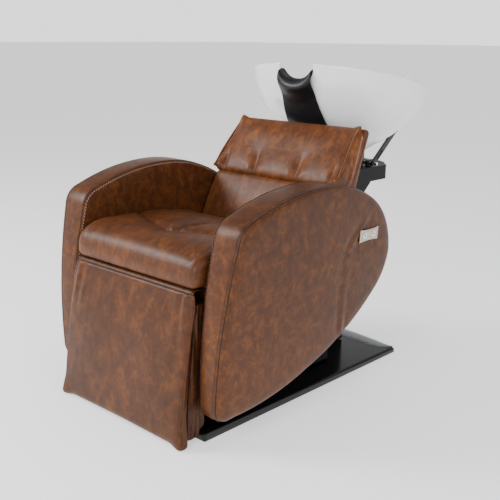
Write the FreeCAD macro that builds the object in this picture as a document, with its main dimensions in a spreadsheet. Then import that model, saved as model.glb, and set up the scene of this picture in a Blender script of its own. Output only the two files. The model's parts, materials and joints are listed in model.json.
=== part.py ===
import FreeCAD, Part
import math
import os
import Sketcher

# Shampoo backwash unit: an upholstered seat with a powered legrest on a low black base, and
# behind it a tilting ceramic bowl on a column.  Millimetres.  The front of the chair is -Y,
# the sitter's left is +X and +Z is up.  The origin is on the floor at the base's centre.

DIMENSIONS = {
    # base
    "base_half": 261,
    "base_front": -430,
    "base_corner": 430,
    "base_rear": 462,
    "base_top_front": 24,
    "base_top_rear": 16,
    "base_wall": 4,
    "plate_thick": 8,
    "foot_height": 4,
    "foot_radius": 22,
    "foot_side": 215,
    "foot_depth": 380,
    "flange": 12,
    "anchor_radius": 6,
    "anchor_side": 110,
    "anchor_front": -220,
    "anchor_rear": 130,
    # seat frame between the arms
    "tube": 40,
    "tube_wall": 3,
    "frame_side": 120,
    "frame_front": -250,
    "frame_rear": 150,
    "rail_front": -395,
    "rail_low": 288,
    "rail_high": 328,
    "skirt_half": 172,
    "skirt_front": -282,
    "skirt_rear": 186,
    "skirt_thick": 4,
    "skirt_low": 26,
    "skirt_top": 286,
    "door_half": 92,
    "door_low": 78,
    "door_high": 242,
    # connections for water and power
    "fitting_height": 60,
    "inlet_near": -105,
    "inlet_far": -130,
    "inlet_radius": 7,
    "waste_side": -120,
    "waste_height": 110,
    "waste_radius": 16,
    "gland_side": 130,
    "gland_bore": 4.5,
    # arms
    "arm_inner": 263,
    "arm_seam_low": 333,
    "arm_lean": 0.0787,
    "arm_seam_height": 147,
    "arm_front": -450,
    "arm_top": 630,
    "arm_rear": 236,
    "arm_bottom": 74,
    "arm_lining": 12,
    "arm_board": 18,
    # seat and back cushions
    "seat_half": 250,
    "seat_bottom": 346,
    "seat_top": 508,
    "seat_front": -444,
    "seat_lip": 404,
    "seat_rear": 24,
    "back_half": 250,
    "back_foot": 388,
    "pillow_half": 240,
    "pillow_low": 586,
    "pillow_top": 752,
    # legrest
    "legrest_half": 248,
    "legrest_top": 375,
    "legrest_lip": 396,
    "legrest_bottom": 16,
    "legrest_box_half": 244,
    "legrest_box_top": 368,
    "hinge_height": 385,
    "hinge_depth": -432,
    "hinge_side": 115,
    "knuckle_radius": 7,
    "pin_radius": 4,
    "pin_play": 0.05,
    # legrest drive: a rod slides along Y and its cross pin works in a slotted lug
    "drive_gap": 22,
    "drive_drop": 85,
    "drive_start": 68,
    "drive_pin": 5,
    "drive_slack": 3.6,
    "rod_radius": 9,
    "barrel_radius": 22,
    "barrel_front": -308,
    "barrel_rear": -60,
    # column and shelf
    "column_half": 88,
    "column_front": 290,
    "column_back": 372,
    "column_wall": 4,
    "post_half": 31,
    "post_front": 301,
    "post_back": 361,
    "shelf_half": 120,
    "shelf_front": 292,
    "shelf_corner": 544,
    "shelf_rear": 612,
    "shelf_low": 548,
    "shelf_high": 594,
    # bowl
    "bowl_half_width": 306,
    "bowl_half_depth": 216,
    "bowl_centre": 416,
    "bowl_front_height": 928,
    "bowl_slope": 0.239,
    "bowl_apex": 599,
    "bowl_foot": 652,
    "bowl_wall": 10,
    "neck_half": 64,
    "neck_low": 872,
    "deck_front": 545,
    "deck_top": 797,
    "drain_depth": 416,
    "drain_hole": 30,
    "drain_tail": 24,
    "tilt_depth": 472,
    "tilt_height": 604.5,
    "tilt_side": 112,
    "axle_radius": 5,
    "mixer_side": 115,
    "mixer_depth": 570,
    "shower_side": -70,
    "shower_depth": 580,
    # switch
    "switch_depth": 109.5,
    "switch_height": 471.5,
    "switch_length": 83,
    "switch_width": 37,
    "switch_thick": 3,
    "button_radius": 8.5,
    "button_gap": 41,
    "button_play": 0.08,
}

ARM_BOLT_DEPTHS = (-315, -75, 145)
ARM_BOLT_HEIGHT = 308
NORMAL = {"XY_Plane": "z", "XZ_Plane": "y", "YZ_Plane": "x"}

os.makedirs("parts", exist_ok=True)
doc = FreeCAD.newDocument("shampoo_backwash_unit")
sheet = doc.addObject("Spreadsheet::Sheet", "dims")
for row, (alias, value) in enumerate(DIMENSIONS.items(), start=1):
    sheet.set(f"A{row}", alias)
    sheet.set(f"B{row}", str(value))
    sheet.setAlias(f"B{row}", alias)
doc.recompute()


class Size:
    """A length: its value in millimetres and the sheet expression that gives it."""

    def __init__(self, value, text):
        self.value = value
        self.text = text

    def __add__(self, other):
        other = size(other)
        return Size(self.value + other.value, f"({self.text} + {other.text})")

    __radd__ = __add__

    def __sub__(self, other):
        other = size(other)
        return Size(self.value - other.value, f"({self.text} - {other.text})")

    def __rsub__(self, other):
        return size(other) - self

    def __mul__(self, other):
        other = size(other)
        return Size(self.value * other.value, f"({self.text} * {other.text})")

    __rmul__ = __mul__

    def __neg__(self):
        return self * -1


def size(item):
    """A Size as it is, or a plain number as a Size."""
    return item if isinstance(item, Size) else Size(float(item), f"({float(item)!r})")


class Sheet:
    """The sheet's cells by alias, each one a Size."""

    def __getattr__(self, alias):
        return Size(float(sheet.get(alias)), f"dims.{alias}")


d = Sheet()
finished = []


def bind(item, name, length):
    """Tie a property to the sheet."""
    item.setExpression(name, size(length).text)


def place(item, x=None, y=None, z=None):
    """Tie the origin of an object's placement to the sheet."""
    for axis, length in (("x", x), ("y", y), ("z", z)):
        if length is not None:
            bind(item, "Placement.Base." + axis, length)


def keep(item, label):
    """Name an object as a finished sub-part."""
    item.Label = label
    finished.append(item)
    return item


# ---------------------------------------------------------------- solids from primitives

def box(name, x, y, z):
    """A block between two corners, each axis given as (low, high)."""
    item = doc.addObject("Part::Box", name)
    for side, (low, high) in zip(("Length", "Width", "Height"), (x, y, z)):
        bind(item, side, size(high) - low)
    place(item, x[0], y[0], z[0])
    return item


def square_tube(name, along, x, y, z):
    """A square tube, open at both ends."""
    inside = []
    for axis, (low, high) in zip("XYZ", (x, y, z)):
        gap = -1 if axis == along else d.tube_wall
        inside.append((size(low) + gap, size(high) - gap))
    return cut(name, box(name + "_outside", x, y, z), [box(name + "_inside", *inside)])


def rod(name, along, centre, radius, span):
    """A cylinder along X, Y or Z; centre gives the two other coordinates in X, Y, Z order."""
    item = doc.addObject("Part::Cylinder", name)
    bind(item, "Radius", radius)
    bind(item, "Height", size(span[1]) - span[0])
    turn = {"X": ((0, 1, 0), 90), "Y": ((1, 0, 0), -90), "Z": ((0, 0, 1), 0)}[along]
    item.Placement.Rotation = FreeCAD.Rotation(FreeCAD.Vector(*turn[0]), turn[1])
    if along == "X":
        place(item, span[0], centre[0], centre[1])
    elif along == "Y":
        place(item, centre[0], span[0], centre[1])
    else:
        place(item, centre[0], centre[1], span[0])
    return item


def group(name, items):
    """Several separate solids in one node."""
    item = doc.addObject("Part::Compound", name)
    item.Links = items
    return item


def fuse(name, items):
    item = doc.addObject("Part::MultiFuse", name)
    item.Shapes = items
    return item


def cut(name, base, tools):
    """A base with one or more tools taken away."""
    item = doc.addObject("Part::Cut", name)
    item.Base = base
    item.Tool = tools[0] if len(tools) == 1 else fuse(name + "_tools", tools)
    return item


def common(name, base, tool):
    item = doc.addObject("Part::Common", name)
    item.Base = base
    item.Tool = tool
    return item


def tube(name, along, centre, outer, inner, span):
    """A round tube."""
    clear = (size(span[0]) - 1, size(span[1]) + 1)
    shell = rod(name + "_outside", along, centre, outer, span)
    return cut(name, shell, [rod(name + "_bore", along, centre, inner, clear)])


# ---------------------------------------------------------------- solids from sketches

def plane_of(body, role):
    return [item for item in body.Origin.OriginFeatures if item.Role == role][0]


def clockwise(start, middle, end):
    """Whether three points turn clockwise."""
    (u0, v0), (u1, v1), (u2, v2) = [(size(u).value, size(v).value) for u, v in (start, middle, end)]
    return (u1 - u0) * (v2 - v1) - (v1 - v0) * (u2 - u1) < 0


def vector(point):
    return FreeCAD.Vector(size(point[0]).value, size(point[1]).value, 0)


def draw(sketch, outline):
    """A closed outline: each entry is an end point, or a point on an arc and then its end point.

    Every end point and every point on an arc is tied to the sheet.  The sketcher stores arcs
    anticlockwise, so a clockwise arc starts at its second end."""
    starts = [outline[-1][-1]] + [entry[-1] for entry in outline[:-1]]
    tips = []
    for start, entry in zip(starts, outline):
        if len(entry) == 1:
            sketch.addGeometry(Part.LineSegment(vector(start), vector(entry[0])), False)
            tips.append((1, 2))
        else:
            sketch.addGeometry(Part.Arc(vector(start), vector(entry[0]), vector(entry[1])), False)
            tips.append((2, 1) if clockwise(start, *entry) else (1, 2))
    count = len(outline)
    for index, entry in enumerate(outline):
        follower = (index + 1) % count
        sketch.addConstraint(Sketcher.Constraint(
            "Coincident", index, tips[index][1], follower, tips[follower][0]))
        pin_point(sketch, index, tips[index][1], entry[-1])
        if len(entry) == 2:
            marker = sketch.addGeometry(Part.Point(vector(entry[0])), True)
            sketch.addConstraint(Sketcher.Constraint("PointOnObject", marker, 1, index))
            pin_point(sketch, marker, 1, entry[0])


def pin_point(sketch, curve, end, point):
    """Tie a point of a sketch to the sheet, measured from the sketch's origin."""
    for kind, length in (("DistanceX", point[0]), ("DistanceY", point[1])):
        length = size(length)
        number = sketch.addConstraint(Sketcher.Constraint(kind, -1, 1, curve, end, length.value))
        sketch.setExpression(f"Constraints[{number}]", length.text)


def sketch_on(body, name, role, outline):
    """A sketch on one of the body's own origin planes."""
    sketch = body.newObject("Sketcher::SketchObject", name)
    sketch.AttachmentSupport = [(plane_of(body, role), "")]
    sketch.MapMode = "FlatFace"
    draw(sketch, outline)
    return sketch


def profile(name, role, outline, span):
    """An outline on the XY, XZ or YZ plane, padded over a span of the third axis."""
    body = doc.addObject("PartDesign::Body", name)
    sketch = sketch_on(body, name + "_outline", role, outline)
    pad = body.newObject("PartDesign::Pad", name + "_pad")
    pad.Profile = sketch
    bind(pad, "Length", size(span[1]) - span[0])
    pad.Reversed = role == "XZ_Plane"
    place(body, **{NORMAL[role]: span[0]})
    return body


def line(u, v):
    return ((u, v),)


def arc(middle_u, middle_v, u, v):
    return ((middle_u, middle_v), (u, v))


def block_outline(low_u, high_u, low_v, high_v):
    return [line(low_u, low_v), line(high_u, low_v), line(high_u, high_v), line(low_u, high_v)]


# ---------------------------------------------------------------- base

def base_plan(inset):
    """The base seen from above: straight sides and a bowed rear edge."""
    half = d.base_half - inset
    return [
        line(half, d.base_front + inset),
        line(half, d.base_corner - inset),
        arc(0, d.base_rear - inset, -half, d.base_corner - inset),
        line(-half, d.base_front + inset),
    ]


def make_base():
    plate_low = d.foot_height
    plate_high = plate_low + d.plate_thick
    blank = profile("base_plate_blank", "XY_Plane", base_plan(d.base_wall + 2), (plate_low, plate_high))
    holes = []
    for side in (-1, 1):
        for depth in (d.anchor_front, d.anchor_rear):
            holes.append(rod("anchor_hole", "Z", (d.anchor_side * side, depth), d.anchor_radius,
                             (plate_low - 1, plate_high + 1)))
    keep(cut("base_plate_cut", blank, holes), "base_plate")

    shell = profile("base_cover_blank", "XY_Plane", base_plan(0), (2, d.base_top_front))
    slope = profile("base_cover_slope", "YZ_Plane", [
        line(d.base_front - 20, d.base_top_front + 0.4),
        line(d.base_rear + 20, d.base_top_rear),
        line(d.base_rear + 20, d.base_top_front + 30),
        line(d.base_front - 20, d.base_top_front + 30),
    ], (-d.base_half - 20, d.base_half + 20))
    hollow = profile("base_cover_hollow", "XY_Plane", base_plan(d.base_wall), (0, plate_high + 0.5))
    through = (0, d.base_top_front + 30)
    seat_window = box("seat_window", (-d.skirt_half + d.flange, d.skirt_half - d.flange),
                      (d.skirt_front + d.flange, d.skirt_rear - d.flange), through)
    column_window = box("column_window", (-d.column_half + d.flange, d.column_half - d.flange),
                        (d.post_front - 3, d.post_back + 3), through)
    keep(cut("base_cover_cut", shell, [slope, hollow, seat_window, column_window]), "base_cover")

    feet = []
    for side in (-1, 1):
        for depth in (-d.foot_depth, 0, d.foot_depth):
            feet.append(rod("foot", "Z", (d.foot_side * side, depth), d.foot_radius, (0, d.foot_height)))
    feet.append(rod("foot", "Z", (0, 0), d.foot_radius, (0, d.foot_height)))
    keep(group("feet", feet), "base_feet")


# ---------------------------------------------------------------- frame and skirts

def make_frame():
    floor = d.foot_height + d.plate_thick
    half = d.tube * 0.5
    uprights = []
    for side in (-1, 1):
        for depth in (d.frame_front, d.frame_rear):
            centre = d.frame_side * side
            uprights.append(square_tube("upright", "Z", (centre - half, centre + half),
                                        (depth - half, depth + half), (floor, d.rail_low)))
    keep(group("uprights", uprights), "frame_uprights")

    rails = []
    for side in (-1, 1):
        centre = d.frame_side * side
        rails.append(square_tube("rail", "Y", (centre - half, centre + half),
                                 (d.rail_front, d.frame_rear + half), (d.rail_low, d.rail_high)))
    keep(group("rails", rails), "frame_side_rails")

    bearers = [box("bearer", (-d.frame_side + half, d.frame_side - half),
                   (d.frame_rear - half, d.frame_rear - half + 30), (d.rail_low, d.rail_high))]
    for depth in ARM_BOLT_DEPTHS:
        for low, high in ((-d.arm_inner, -d.frame_side - half), (d.frame_side + half, d.arm_inner)):
            bar = box("arm_bearer_bar", (low, high), (depth - 15, depth + 15),
                      (d.rail_low, d.rail_high))
            hole = rod("arm_bolt_hole", "X", (depth, ARM_BOLT_HEIGHT), 4.2, (low - 1, size(high) + 1))
            bearers.append(cut("arm_bearer", bar, [hole]))
    keep(group("bearers", bearers), "frame_cross_rails")

    sides = []
    for side in (-1, 1):
        low, high = ((d.skirt_half - d.skirt_thick, d.skirt_half) if side > 0
                     else (-d.skirt_half, -d.skirt_half + d.skirt_thick))
        sides.append(box("skirt_side", (low, high), (d.skirt_front, d.skirt_rear),
                         (d.skirt_low, d.skirt_top)))
    keep(group("skirt_sides", sides), "side_skirts")

    inner = d.skirt_half - d.skirt_thick
    keep(box("skirt_front_panel", (-inner, inner), (d.skirt_front, d.skirt_front + d.skirt_thick),
             (d.skirt_low, d.skirt_top - d.drive_gap)), "front_skirt")
    rear = box("skirt_rear_blank", (-inner, inner), (d.skirt_rear - d.skirt_thick, d.skirt_rear),
               (d.skirt_low, d.skirt_top))
    door_half = d.door_half
    low, high = d.door_low, d.door_high
    edge = d.flange
    doorway = box("doorway", (-door_half + edge, door_half - edge),
                  (d.skirt_rear - 20, d.skirt_rear + 20), (low + edge, high - edge))
    keep(cut("skirt_rear_cut", rear, [doorway]), "rear_skirt")
    face = d.skirt_rear + d.skirt_thick
    door = box("door_blank", (-door_half, door_half), (d.skirt_rear, face), (low, high))
    screw_places = [(x, z) for x in (-door_half + edge * 0.5, door_half - edge * 0.5)
                    for z in (low + edge * 0.5, high - edge * 0.5)]
    door_holes = [rod("door_hole", "Y", (x, z), 2.2, (d.skirt_rear - 1, face + 1))
                  for x, z in screw_places]
    keep(cut("door_cut", door, door_holes), "service_door")
    screws = [rod("door_screw", "Y", (x, z), 4.5, (face, face + 3)) for x, z in screw_places]
    keep(group("door_screw_set", screws), "service_door_screws")


def make_services():
    """The power supply on the base, and the water and cable fittings on the rear skirt."""
    floor = d.foot_height + d.plate_thick
    keep(box("supply", (30, 100), (-60, 80), (floor, floor + 60)), "power_supply")
    height = d.fitting_height
    wall = d.skirt_rear
    inlets = []
    for x in (d.inlet_far, d.inlet_near):
        flange = rod("inlet_base", "Y", (x, height), 12, (wall, wall + 8))
        spout = rod("inlet_spout", "Y", (x, height), d.inlet_radius, (wall + 8, wall + 30))
        inlets.append(fuse("inlet", [flange, spout]))
    place = (d.waste_side, d.waste_height)
    flange = rod("waste_base", "Y", place, 20, (wall, wall + 8))
    spout = rod("waste_spout", "Y", place, d.waste_radius, (wall + 8, wall + 38))
    inlets.append(fuse("waste", [flange, spout]))
    keep(group("water_fittings", inlets), "water_inlets")
    keep(tube("gland", "Y", (d.gland_side, height), 11, d.gland_bore, (wall, wall + 16)), "cable_gland")


# ---------------------------------------------------------------- arms

def arm_outline(inset):
    """The side view of an arm: a teardrop, blunt at the front and drawn out to the rear."""
    front = d.arm_front + inset
    top = d.arm_top - inset
    rear = d.arm_rear - inset
    bottom = d.arm_bottom + inset
    return [
        arc(front + 15, 350, front + 49 - inset * 0.1, 525 - inset * 0.3),
        arc(front + 68, top - 66, front + 101, top - 48),
        arc(-225, top - 12, -88, top),
        arc(24, top - 15, 119 - inset * 0.4, top - 52 + inset * 0.2),
        arc(rear - 38, 508 - inset * 0.3, rear, 402),
        arc(rear - 20, 335 + inset * 0.3, 178 - inset * 0.7, 287 + inset * 0.6),
        arc(37, 182 + inset, -97, bottom + 51),
        arc(-262, bottom + 8, front + 58, bottom),
        arc(front + 12, bottom + 12, front, bottom + 46),
    ]


def arm_face(height):
    """How far out the arm's outer face stands at a height."""
    return d.arm_seam_low + (size(height) - d.arm_seam_height) * d.arm_lean


def make_arm(side, name):
    """One arm: a lining, a plywood board and an outer pad with a pocket for the board."""
    def across(low, high):
        return (low, high) if side > 0 else (-size(high), -size(low))

    lining_end = d.arm_inner + d.arm_lining
    board_end = lining_end + d.arm_board
    keep(profile(f"lining_{name}", "YZ_Plane", arm_outline(size(0)), across(d.arm_inner, lining_end)),
         f"arm_lining_{name}")
    board = profile(f"board_{name}", "YZ_Plane", arm_outline(size(18)), across(lining_end, board_end))
    keep(board, f"arm_board_{name}")
    slab = profile(f"slab_{name}", "YZ_Plane", arm_outline(size(0)), across(lining_end, lining_end + 130))
    top = d.arm_top + 20
    wedge = profile(f"wedge_{name}", "XZ_Plane", [
        line(lining_end * side, 0),
        line(arm_face(0) * side, 0),
        line(arm_face(top) * side, top),
        line(lining_end * side, top),
    ], (d.arm_front - 20, d.arm_rear + 20))
    pocket = profile(f"pocket_{name}", "YZ_Plane", arm_outline(size(18)),
                     across(lining_end - 1, board_end))
    leaning = common(f"leaning_{name}", slab, wedge)
    tools = [pocket]
    if side > 0:
        tools.append(switch_block("switch_pocket", 36, 15.5, -30, 0.5))
    keep(cut(f"pad_{name}", leaning, tools), f"arm_pad_{name}")

    bolts = []
    for depth in ARM_BOLT_DEPTHS:
        bolts.append(rod(f"arm_bolt_{name}", "X", (depth, ARM_BOLT_HEIGHT), 4,
                         across(d.arm_inner - 50, d.arm_inner)))
    return bolts


# ---------------------------------------------------------------- switch on the near arm

LEAN = math.degrees(math.atan(DIMENSIONS["arm_lean"]))


def tilt_to_arm(body):
    """Turn a switch piece to the arm's leaning face and put it there."""
    body.Placement = FreeCAD.Placement(
        FreeCAD.Vector(0, 0, 0), FreeCAD.Rotation(FreeCAD.Vector(0, 1, 0), LEAN))
    place(body, arm_face(d.switch_height), d.switch_depth, d.switch_height)


def switch_profile(name, outline, low, high):
    """An outline in the arm's face, padded along the face's outward direction."""
    body = doc.addObject("PartDesign::Body", name)
    sketch = sketch_on(body, name + "_outline", "YZ_Plane", outline)
    sketch.AttachmentOffset = FreeCAD.Placement(
        FreeCAD.Vector(0, 0, size(low).value), FreeCAD.Rotation())
    bind(sketch, "AttachmentOffset.Base.z", low)
    pad = body.newObject("PartDesign::Pad", name + "_pad")
    pad.Profile = sketch
    bind(pad, "Length", size(high) - low)
    tilt_to_arm(body)
    return body


def switch_block(name, half_length, half_width, low, high):
    return switch_profile(name, block_outline(-half_length, half_length, -half_width, half_width),
                          low, high)


def circle_body(name, centre, radius, low, high):
    """A round boss or hole standing out of the arm's face."""
    u, v = centre
    outline = [arc(u, v + radius, u - radius, v), arc(u, v - radius, u + radius, v)]
    return switch_profile(name, outline, low, high)


def make_switch():
    half_length = d.switch_length * 0.5
    half_width = d.switch_width * 0.5
    waist = half_width - 3
    plate = switch_profile("plate_blank", [
        line(half_length, half_width),
        arc(0, waist, -half_length, half_width),
        line(-half_length, -half_width),
        arc(0, -waist, half_length, -half_width),
    ], 0.5, 0.5 + d.switch_thick)
    centres = [(d.button_gap * -0.5, 0), (d.button_gap * 0.5, 0)]
    bore = d.button_radius + d.button_play
    holes = [circle_body("plate_hole", centre, bore, -1, 8) for centre in centres]
    holes.append(circle_body("lamp_hole", (0, 0), 2, -1, 8))
    keep(cut("plate_cut", plate, holes), "switch_plate")
    keep(circle_body("lamp", (0, 0), 2, 0.5, 0.9 + d.switch_thick), "switch_lamp")

    block = switch_block("switch_box_blank", 35, 15, -29, 0.3)
    wells = [circle_body("well", centre, bore, -9, 2) for centre in centres]
    keep(cut("switch_box_cut", block, wells), "switch_box")
    for label, centre in zip(("button_down", "button_up"), centres):
        keep(circle_body(label + "_disc", centre, d.button_radius, -5, 2 + d.switch_thick), label)


# ---------------------------------------------------------------- seat and back

def make_seat():
    board = box("seat_board_block", (-232, 232), (-392, d.seat_rear - 10), (d.rail_high, d.seat_bottom))
    lug_notch = box("lug_notch", (-9, 9), (-393, -352), (d.rail_high - 1, d.seat_bottom + 1))
    keep(cut("seat_board_cut", board, [lug_notch]), "seat_board")
    outline = [
        line(d.hinge_depth + 38, d.seat_bottom),
        line(d.hinge_depth + 38, d.seat_lip),
        line(d.seat_front, d.seat_lip),
        arc(d.seat_front + 12, 462, -360, 502),
        arc(-190, d.seat_top + 4, d.seat_rear - 24, 476),
        arc(d.seat_rear - 4, 466, d.seat_rear, 440),
        line(d.seat_rear, d.seat_bottom),
    ]
    keep(profile("seat_soft", "YZ_Plane", outline, (-d.seat_half, d.seat_half)), "seat_cushion")


def make_back():
    foot = d.back_foot
    keep(profile("back_soft", "YZ_Plane", [
        line(28, foot),
        line(28, 430),
        arc(62, 505, 104, d.pillow_low - 4),
        line(150, d.pillow_low - 4),
        arc(100, 480, 62, foot),
    ], (-d.back_half, d.back_half)), "back_cushion")
    keep(profile("pillow_soft", "YZ_Plane", [
        line(103, d.pillow_low),
        arc(96, 612, 112, 655),
        arc(150, 712, 200, d.pillow_top),
        arc(226, 756, 234, 738),
        line(154, d.pillow_low),
    ], (-d.pillow_half, d.pillow_half)), "back_pillow")
    keep(profile("back_ply", "YZ_Plane", [
        line(67, foot),
        arc(104, 480, 155, d.pillow_low - 4),
        line(240, 737),
        line(252, 729),
        line(168, d.pillow_low - 12),
        arc(119, 476, 83, foot),
    ], (-d.pillow_half, d.pillow_half)), "back_board")
    keep(profile("back_shell", "YZ_Plane", [
        line(88, d.rail_high + 4),
        line(88, foot),
        arc(122, 474, 171, d.pillow_low - 15),
        line(245, 706),
        line(205, 592),
        line(128, d.rail_high + 4),
    ], (-d.back_half, d.back_half)), "back_panel")
    brackets = []
    for side in (-1, 1):
        centre = d.frame_side * side
        brackets.append(box("back_bracket", (centre - 15, centre + 15), (48, 60), (d.rail_high, 386)))
    keep(group("back_bracket_pair", brackets), "back_brackets")


# ---------------------------------------------------------------- legrest and its drive

LUG_ANGLE = math.radians(40)
SLOT_NEAR = 82
SLOT_FAR = 112
LUG_NEAR = 74
LUG_HALF = 16


def make_legrest():
    half = d.legrest_half
    low = d.legrest_bottom
    keep(profile("legrest_soft", "YZ_Plane", [
        line(-437, d.legrest_top),
        line(-441.5, d.legrest_top + 2),
        line(-441.5, d.legrest_lip),
        line(-446, d.legrest_lip),
        arc(-486, 225, -506, 60),
        line(-508, low + 2),
        line(-476, low),
        line(-446, 330),
        line(-438.5, 355),
    ], (-half, half)), "legrest_pad")
    box_half = d.legrest_box_half
    keep(profile("legrest_shell", "YZ_Plane", [
        line(-404, 320),
        line(-404, d.legrest_box_top),
        line(-437, d.legrest_box_top),
        line(-437, 352),
        line(-444.5, 325),
        line(-475, low),
        line(d.base_front - 4, low),
        line(d.base_front - 4, d.base_top_front + 6),
        line(-414, d.base_top_front + 12),
    ], (-box_half, box_half)), "legrest_box")
    make_hinges()
    make_drive()


def make_hinges():
    """Two hinges on one line: arms on the frame, and leaves with the pins on the legrest."""
    y, z = d.hinge_depth, d.hinge_height
    outer = d.knuckle_radius
    arms, leaves = [], []
    for side in (-1, 1):
        centre = d.hinge_side * side
        arm = profile("hinge_arm_plate", "YZ_Plane", [
            line(-395, 292),
            line(-395, z + outer),
            line(y, z + outer),
            line(y, z - outer),
            line(-402, z - outer),
            line(-402, 292),
        ], (centre - 9, centre + 9))
        eye = rod("hinge_arm_eye", "X", (y, z), outer, (centre - 9, centre + 9))
        bore = rod("hinge_arm_bore", "X", (y, z), d.pin_radius + d.pin_play, (centre - 10, centre + 10))
        arms.append(cut("hinge_arm", fuse("hinge_arm_body", [arm, eye]), [bore]))
        leaf_parts = [rod("hinge_pin", "X", (y, z), d.pin_radius, (centre - 22, centre + 22))]
        for low, high in ((centre - 22, centre - 9.5), (centre + 9.5, centre + 22)):
            leaf_parts.append(rod("moving_knuckle", "X", (y, z), outer, (low, high)))
            leaf_parts.append(box("moving_leaf", (low, high), (y - 3, y + 3),
                                  (d.legrest_box_top, z)))
        leaves.append(fuse("hinge_leaf", leaf_parts))
    keep(group("hinge_arm_pair", arms), "hinge_arms")
    keep(group("hinge_leaf_pair", leaves), "hinge_leaves")


def lug_point(reach, side):
    """A point of the lug at rest: reach along its slot from the hinge, side across it."""
    return (d.hinge_depth + reach * math.sin(LUG_ANGLE) + side * math.cos(LUG_ANGLE),
            d.hinge_height - reach * math.cos(LUG_ANGLE) + side * math.sin(LUG_ANGLE))


def make_drive():
    """The slotted lug on the legrest, and the linear drive whose pin works in it."""
    y_pin = d.hinge_depth + d.drive_start
    z_pin = d.hinge_height - d.drive_drop
    blank = profile("lug_blank", "YZ_Plane", [
        line(-404, 330),
        line(*lug_point(SLOT_FAR, -LUG_HALF)),
        arc(*lug_point(SLOT_FAR + LUG_HALF, 0), *lug_point(SLOT_FAR, LUG_HALF)),
        line(*lug_point(LUG_NEAR, LUG_HALF)),
        line(-404, 346),
    ], (-5, 5))
    width = d.drive_pin + d.drive_slack
    far_tip = lug_point(SLOT_FAR + width, 0)
    near_tip = lug_point(SLOT_NEAR - width, 0)
    slot = profile("lug_slot", "YZ_Plane", [
        line(*lug_point(SLOT_FAR, -width)),
        arc(*far_tip, *lug_point(SLOT_FAR, width)),
        line(*lug_point(SLOT_NEAR, width)),
        arc(*near_tip, *lug_point(SLOT_NEAR, -width)),
    ], (-6, 6))
    keep(cut("lug_cut", blank, [slot]), "drive_lug")

    fork = [
        box("cheek_right", (-13, -6), (y_pin - 15, y_pin + 43), (z_pin - 12, z_pin + 12)),
        box("cheek_left", (6, 13), (y_pin - 15, y_pin + 43), (z_pin - 12, z_pin + 12)),
        box("fork_block", (-13, 13), (y_pin + 42, y_pin + 52), (z_pin - 12, z_pin + 12)),
        rod("fork_pin", "X", (y_pin, z_pin), d.drive_pin, (-12, 12)),
        rod("push_rod", "Y", (0, z_pin), d.rod_radius, (y_pin + 51, -150)),
    ]
    keep(fuse("drive_rod_body", fork), "drive_rod")

    barrel = rod("barrel_outside", "Y", (0, z_pin), d.barrel_radius, (d.barrel_front, d.barrel_rear))
    bore = rod("barrel_bore", "Y", (0, z_pin), d.rod_radius + d.pin_play, (d.barrel_front - 1, -140))
    keep(cut("barrel_cut", barrel, [bore]), "drive_barrel")
    keep(box("gearbox_block", (-30, 30), (d.barrel_rear, 0), (z_pin - 28, z_pin + 26)), "drive_gearbox")
    keep(rod("motor_can", "Z", (0, -30), 26, (180, z_pin - 28)), "drive_motor")

    half = d.tube * 0.5
    inner = d.frame_side - half
    low = z_pin - d.barrel_radius - 10
    high = z_pin - d.barrel_radius
    front_bar = box("front_bar", (-inner, inner), (d.frame_front - half, d.frame_front + 10), (low, high))
    hanger = [box("rear_bar", (-inner, inner), (-110, -80), (low, high))]
    for side in (-1, 1):
        near, far = (inner - 6, inner) if side > 0 else (-inner, -inner + 6)
        hanger.append(box("hanger", (near, far), (-110, -80), (high - 1, d.rail_high)))
    keep(group("drive_bars", [front_bar, fuse("rear_hanger", hanger)]), "drive_brackets")


# ---------------------------------------------------------------- column and shelf

def shelf_plan(inset):
    half = d.shelf_half - inset
    corner = d.shelf_corner - inset * 0.5
    return [
        line(half, d.shelf_front + inset),
        line(half, corner - 14),
        arc(half - 3, corner - 2, half - 14, corner + 6),
        arc(0, d.shelf_rear - inset, -half + 14, corner + 6),
        arc(-half + 3, corner - 2, -half, corner - 14),
        line(-half, d.shelf_front + inset),
    ]


def column_side(inset, low, high):
    """The column cover from the side: upright, then flaring back to carry the shelf."""
    return [
        line(d.column_front + inset, low),
        line(d.column_back - inset, low),
        line(d.column_back - inset, 422 + inset * 0.4),
        line(500 - inset * 1.4, 537 + inset * 0.2),
        line(500 - inset * 1.4, high),
        line(d.column_front + inset, high),
    ]


def make_column():
    floor = d.foot_height + d.plate_thick
    half, front, back = d.post_half, d.post_front, d.post_back
    keep(square_tube("post", "Z", (-half, half), (front, back), (floor, d.shelf_high - 8)), "column_post")
    outside = profile("column_outside", "YZ_Plane", column_side(size(0), 20, d.shelf_low - 0.3),
                      (-d.column_half, d.column_half))
    inside_half = d.column_half - d.column_wall
    inside = profile("column_inside", "YZ_Plane", column_side(d.column_wall, 10, d.shelf_low + 10),
                     (-inside_half, inside_half))
    keep(cut("column_cut", outside, [inside]), "column_cover")

    drain_centre = (0, d.drain_depth)
    drain_hole = rod("shelf_drain", "Z", drain_centre, d.drain_hole, (d.shelf_low - 5, d.shelf_high + 5))
    top = profile("shelf_top", "XY_Plane", shelf_plan(size(0)), (d.shelf_low, d.shelf_high))
    hollow = profile("shelf_hollow", "XY_Plane", shelf_plan(size(5)),
                     (d.shelf_low - 1, d.shelf_high - 8))
    keep(cut("shelf_cut", top, [hollow, drain_hole]), "column_shelf")
    under = profile("under_plate", "XY_Plane", shelf_plan(size(5.5)), (d.shelf_low, d.shelf_low + 3))
    post_hole = box("post_hole", (-half - 1, half + 1), (front - 1, back + 1),
                    (d.shelf_low - 5, d.shelf_low + 10))
    under_drain = rod("under_drain", "Z", drain_centre, d.drain_hole, (d.shelf_low - 5, d.shelf_low + 10))
    keep(cut("under_cut", under, [post_hole, under_drain]), "shelf_underside")


# ---------------------------------------------------------------- bowl

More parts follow.
